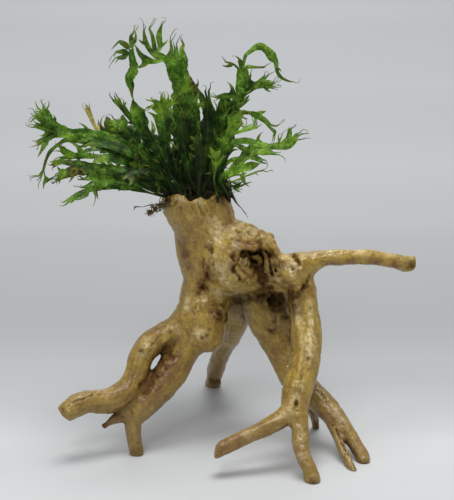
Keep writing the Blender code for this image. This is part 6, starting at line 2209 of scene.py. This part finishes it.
def driftwood_finish():
    """Wet, water-worn wood: ochre with darker fibres, darker cracks, painted shade in its hollows, painted
    highlights, reddish and greenish patches, greyer towards the bottom.
    """
    f = Finish("driftwood_look")
    place = f.place()
    tone, fibre, cracks_and_crevice_shade, _ = f.layer("mottle")
    red, dark, green, pale = f.layer("patches")
    blotch = f.noise(place, 90, 5, 0.62, 0.4)
    cloud = f.noise(place, 240, 4, 0.6)
    fine = f.noise(place, 620, 6, 0.68)
    specks = f.cells(place, 380, "F1")
    colour = f.mix(f.spread(blotch, 0.36, 0.64), paint(136, 104, 34), paint(170, 141, 58))
    colour = f.stain(colour, f.spread(tone, 0.35, 0.8), 0.5, paint(168, 141, 48))
    colour = f.stain(colour, f.spread(tone, 0.45, 0.1), 0.45, paint(136, 97, 36))
    colour = f.stain(colour, f.spread(cloud, 0.54, 0.7), 0.4, paint(196, 172, 92))
    colour = f.stain(colour, f.spread(cloud, 0.46, 0.3), 0.4, paint(124, 90, 28))
    colour = f.stain(colour, f.spread(fibre, 0.55, 0.2), 0.4, paint(116, 84, 26))
    colour = f.stain(colour, f.spread(fine, 0.55, 0.72), 0.45, paint(204, 180, 108))
    colour = f.stain(colour, f.spread(fine, 0.46, 0.32), 0.6, paint(98, 70, 22))
    colour = f.stain(colour, f.spread(specks, 0.24, 0.08), 0.5, paint(82, 54, 20))
    # Painted highlights, broken up by the fine noise
    colour = f.stain(colour, f.times(pale, f.spread(fine, 0.38, 0.56, 0.3, 1.0)), 0.88, paint(222, 202, 150))
    colour = f.stain(colour, green, 0.6, f.mix(fine, paint(92, 82, 42), paint(146, 132, 80)))
    colour = f.stain(colour, red, 0.85, f.mix(blotch, paint(66, 34, 20), paint(118, 70, 40)))
    # Painted shade, darkest under the knot's ledge and inside its hollow
    colour = f.stain(colour, dark, 0.9, f.mix(fine, paint(30, 19, 12), paint(56, 39, 24)))
    # Painted shade in the hollows and crevices, with the dark of the cracks
    colour = f.stain(colour, cracks_and_crevice_shade, 0.85, paint(44, 26, 14))
    # Greyer and darker towards the bottom, in blotches
    height = f.node("SeparateXYZ", {"Vector": place}).outputs["Z"]
    lower_greying = f.spread(blotch, 0.3, 0.6, 0.2, 0.5)
    colour = f.stain(colour, f.spread(height, 0.075, 0.0), lower_greying, paint(116, 92, 60))
    rough = f.math("ADD", f.times(blotch, 0.5), f.times(fine, 0.5))
    rough = f.math("ADD", f.spread(rough, 0.3, 0.7, 0.26, 0.5), f.times(cracks_and_crevice_shade, 0.3), True)
    relief = f.math("ADD", f.times(fine, 0.6), f.times(f.noise(place, 1500, 4, 0.6), 0.35))
    normal = f.bump(relief, 0.0008, 0.7)
    normal = f.bump(f.spread(specks, 0.25, 0.05), 0.00012, 0.6, normal)
    f.surface(Base_Color=colour, Roughness=rough, Normal=normal)
    dull = f.math("ADD", f.times(cracks_and_crevice_shade, 0.8), f.math("ADD", dark, f.times(red, 0.4)), True)
    f.surface(Coat_Weight=f.spread(dull, 0.0, 1.0, 0.36, 0.0), Coat_Roughness=0.1)
    f.surface(Specular_IOR_Level=f.spread(dull, 0.0, 1.0, 0.36, 0.06))
    return f.material


def leaf_finish(name, lift):
    """A wet, thin leaf: dark at its foot, partly as painted shade, lighter towards its tip, veined, brown
    where it decays, and with painted light, painted shade and painted glints.
    """
    f = Finish(name)
    place = f.place()
    along, across, level, brown = f.layer("leaf")
    reach, off, light, _ = f.layer("lines")
    cloud = f.noise(place, 160, 4, 0.6)
    fine = f.noise(place, 620, 5, 0.65)
    # Darker towards each frond's foot: older leaf there, and partly painted shade deep in the clump
    age_and_shade_at_foot = f.spread(along, 0.02, 0.5, -0.26, 0.0)
    clouded = f.spread(cloud, 0.32, 0.68, lift - 0.29, lift + 0.27, "LINEAR")
    tone = f.math("ADD", f.math("ADD", level, age_and_shade_at_foot), clouded)
    tone = f.math("ADD", tone, f.spread(fine, 0.32, 0.68, -0.13, 0.12, "LINEAR"))
    colour = f.mix(f.spread(tone, 0.0, 0.34), paint(16, 28, 9), paint(34, 60, 13))
    colour = f.mix(f.spread(tone, 0.3, 0.66), colour, paint(63, 105, 18))
    colour = f.mix(f.spread(tone, 0.62, 1.0), colour, paint(118, 160, 36))
    colour = f.stain(colour, f.spread(along, 0.86, 1.0), 0.4, paint(134, 146, 44))
    # Painted light, yellow-green
    colour = f.stain(colour, light, 0.4, paint(140, 164, 38))
    slant = f.math("SUBTRACT", f.times(reach, 100), f.times(off, 8))
    wobble = f.times(f.noise(place, 300, 2), 2.2)
    stripe = f.math("PINGPONG", f.math("ADD", slant, wobble), 1.5)
    vein = f.times(f.spread(stripe, 0.26, 0.0), f.spread(off, 0.02, 0.12))
    mesh = f.spread(f.cells(place, 900), 0.07, 0.0)
    vein = f.math("MAXIMUM", vein, f.times(mesh, 0.45))
    colour = f.stain(colour, vein, 0.34, paint(30, 46, 18))
    rib = f.times(f.spread(off, 0.055, 0.02), f.spread(across, 0.9, 0.5))
    colour = f.stain(colour, rib, f.spread(tone, 0.2, 0.6, 0.14, 0.5), paint(98, 114, 50))
    # Painted glints: pale flecks on the lighter leaves in place of wet highlights
    gleam = f.times(f.spread(f.noise(place, 760, 3, 0.6, 1.5), 0.53, 0.64), f.spread(tone, 0.38, 0.76))
    colour = f.stain(colour, gleam, 0.66, paint(160, 188, 96))
    spots = f.spread(f.noise(place, 330, 3, 0.5), 0.66, 0.74)
    colour = f.stain(colour, spots, 0.35, paint(44, 48, 20))
    decay = f.mix(f.spread(cloud, 0.4, 0.62), paint(20, 13, 9), paint(50, 39, 20))
    dappled = f.math("ADD", f.times(cloud, 0.5), f.times(fine, 0.5))
    straw = f.mix(f.spread(dappled, 0.4, 0.6), paint(108, 96, 44), paint(184, 174, 100))
    decay = f.mix(f.spread(level, 0.78, 0.88), decay, straw)
    decay = f.mix(f.spread(brown, 0.55, 0.95), f.mix(fine, paint(78, 78, 24), paint(122, 118, 46)), decay)
    colour = f.mix(f.spread(brown, 0.1, 0.7), colour, decay)
    rough = f.spread(fine, 0.3, 0.7, 0.32, 0.5, "LINEAR")
    relief = f.math("SUBTRACT", f.times(cloud, 1.2), f.times(vein, 0.22))
    normal = f.bump(relief, 0.0012, 0.5)
    normal = f.bump(fine, 0.0003, 0.5, normal)
    wet = f.bump(f.noise(place, 420, 2, 0.5), 0.0011, 0.8, normal)
    f.surface(Base_Color=colour, Roughness=rough, Normal=normal, Coat_Normal=wet)
    f.surface(Subsurface_Weight=0.06, Subsurface_Radius=(0.5, 1.0, 0.1), Subsurface_Scale=0.001)
    f.surface(Coat_Weight=f.spread(brown, 0.0, 0.5, 0.11, 0.02), Coat_Roughness=0.08, Specular_IOR_Level=0.06)
    return f.material


def root_finish():
    """Dark, fuzzy stem and wiry roots, lighter and browner where the colour layer says so."""
    f = Finish("rhizome_skin_look")
    place = f.place()
    shade, green, _, _ = f.layer("tint")
    cloud = f.noise(place, 420, 4, 0.6)
    fine = f.noise(place, 1600, 3, 0.6)
    colour = f.mix(f.spread(cloud, 0.36, 0.66), paint(13, 10, 7), paint(36, 27, 17))
    colour = f.stain(colour, shade, f.spread(fine, 0.3, 0.6, 0.55, 1.0), paint(132, 108, 62))
    colour = f.stain(colour, green, f.spread(cloud, 0.4, 0.6), paint(62, 70, 34))
    rough = f.spread(fine, 0.3, 0.7, 0.45, 0.75)
    f.surface(Base_Color=colour, Roughness=rough, Normal=f.bump(fine, 0.0004, 0.7), Specular_IOR_Level=0.15)
    return f.material


def floor():
    """A plain pale floor, a little darker in a band behind the object: painted shade where a backdrop would
    bend up.
    """
    side = FLOOR_SIDE
    corners = [(-side, -side, 0), (side, -side, 0), (side, side, 0), (-side, side, 0)]
    f = Finish("floor_look")
    split = f.node("SeparateXYZ", {"Vector": f.place()})
    front, back = FLOOR_TONES[0][0], FLOOR_TONES[-1][0]
    ramp = f.node("ValToRGB", {"Fac": f.spread(split.outputs["Y"], front, back, curve="LINEAR")})
    stops = ramp.color_ramp.elements
    for y, grey in FLOOR_TONES:
        at_end = {front: stops[0], back: stops[-1]}
        stop = at_end.get(y) or stops.new((y - front) / (back - front))
        stop.color = (*(grey * tint for tint in FLOOR_TINT), 1.0)
    f.surface(Base_Color=ramp.outputs["Color"], Roughness=0.85)
    mesh = bpy.data.meshes.new("floor")
    mesh.from_pydata(corners, [], [(0, 1, 2, 3)])
    mesh.materials.append(f.material)
    made = add_object("floor", mesh)


def lamp(name, place, aim, size, power):
    light = bpy.data.lights.new(name, "AREA")
    light.shape = "RECTANGLE"
    light.size, light.size_y = size
    light.energy = power
    made = add_object(name, light)
    made.location = place
    made.rotation_euler = (Vector(aim) - Vector(place)).to_track_quat("-Z", "Y").to_euler()


def lights():
    """A soft box overhead, a small one in front for the wet gleam, one for the floor behind, and the room."""
    for name, *light in LAMPS:
        lamp(name, *light)
    world = bpy.data.worlds.new("room")
    bpy.context.scene.world = world
    world.use_nodes = True
    back = world.node_tree.nodes["Background"]
    back.inputs["Color"].default_value = ROOM_COLOUR
    back.inputs["Strength"].default_value = ROOM_LIGHT


def camera():
    lens = bpy.data.cameras.new("camera")
    lens.lens = LENS
    lens.sensor_width = SENSOR
    made = add_object("camera", lens)
    made.location = Vector(CAMERA) * MM
    made.rotation_euler = (math.pi / 2 - PITCH, 0, 0)
    bpy.context.scene.camera = made


bpy.context.scene.view_settings.view_transform = "Standard"
bpy.context.scene.cycles.use_denoising = True
camera()
lights()
floor()
space = wood_space()
wood_pieces(space, driftwood_finish())
roots = root_finish()
rhizome(space, roots)
root_tuft(roots)
root_thread(roots)
fronds()
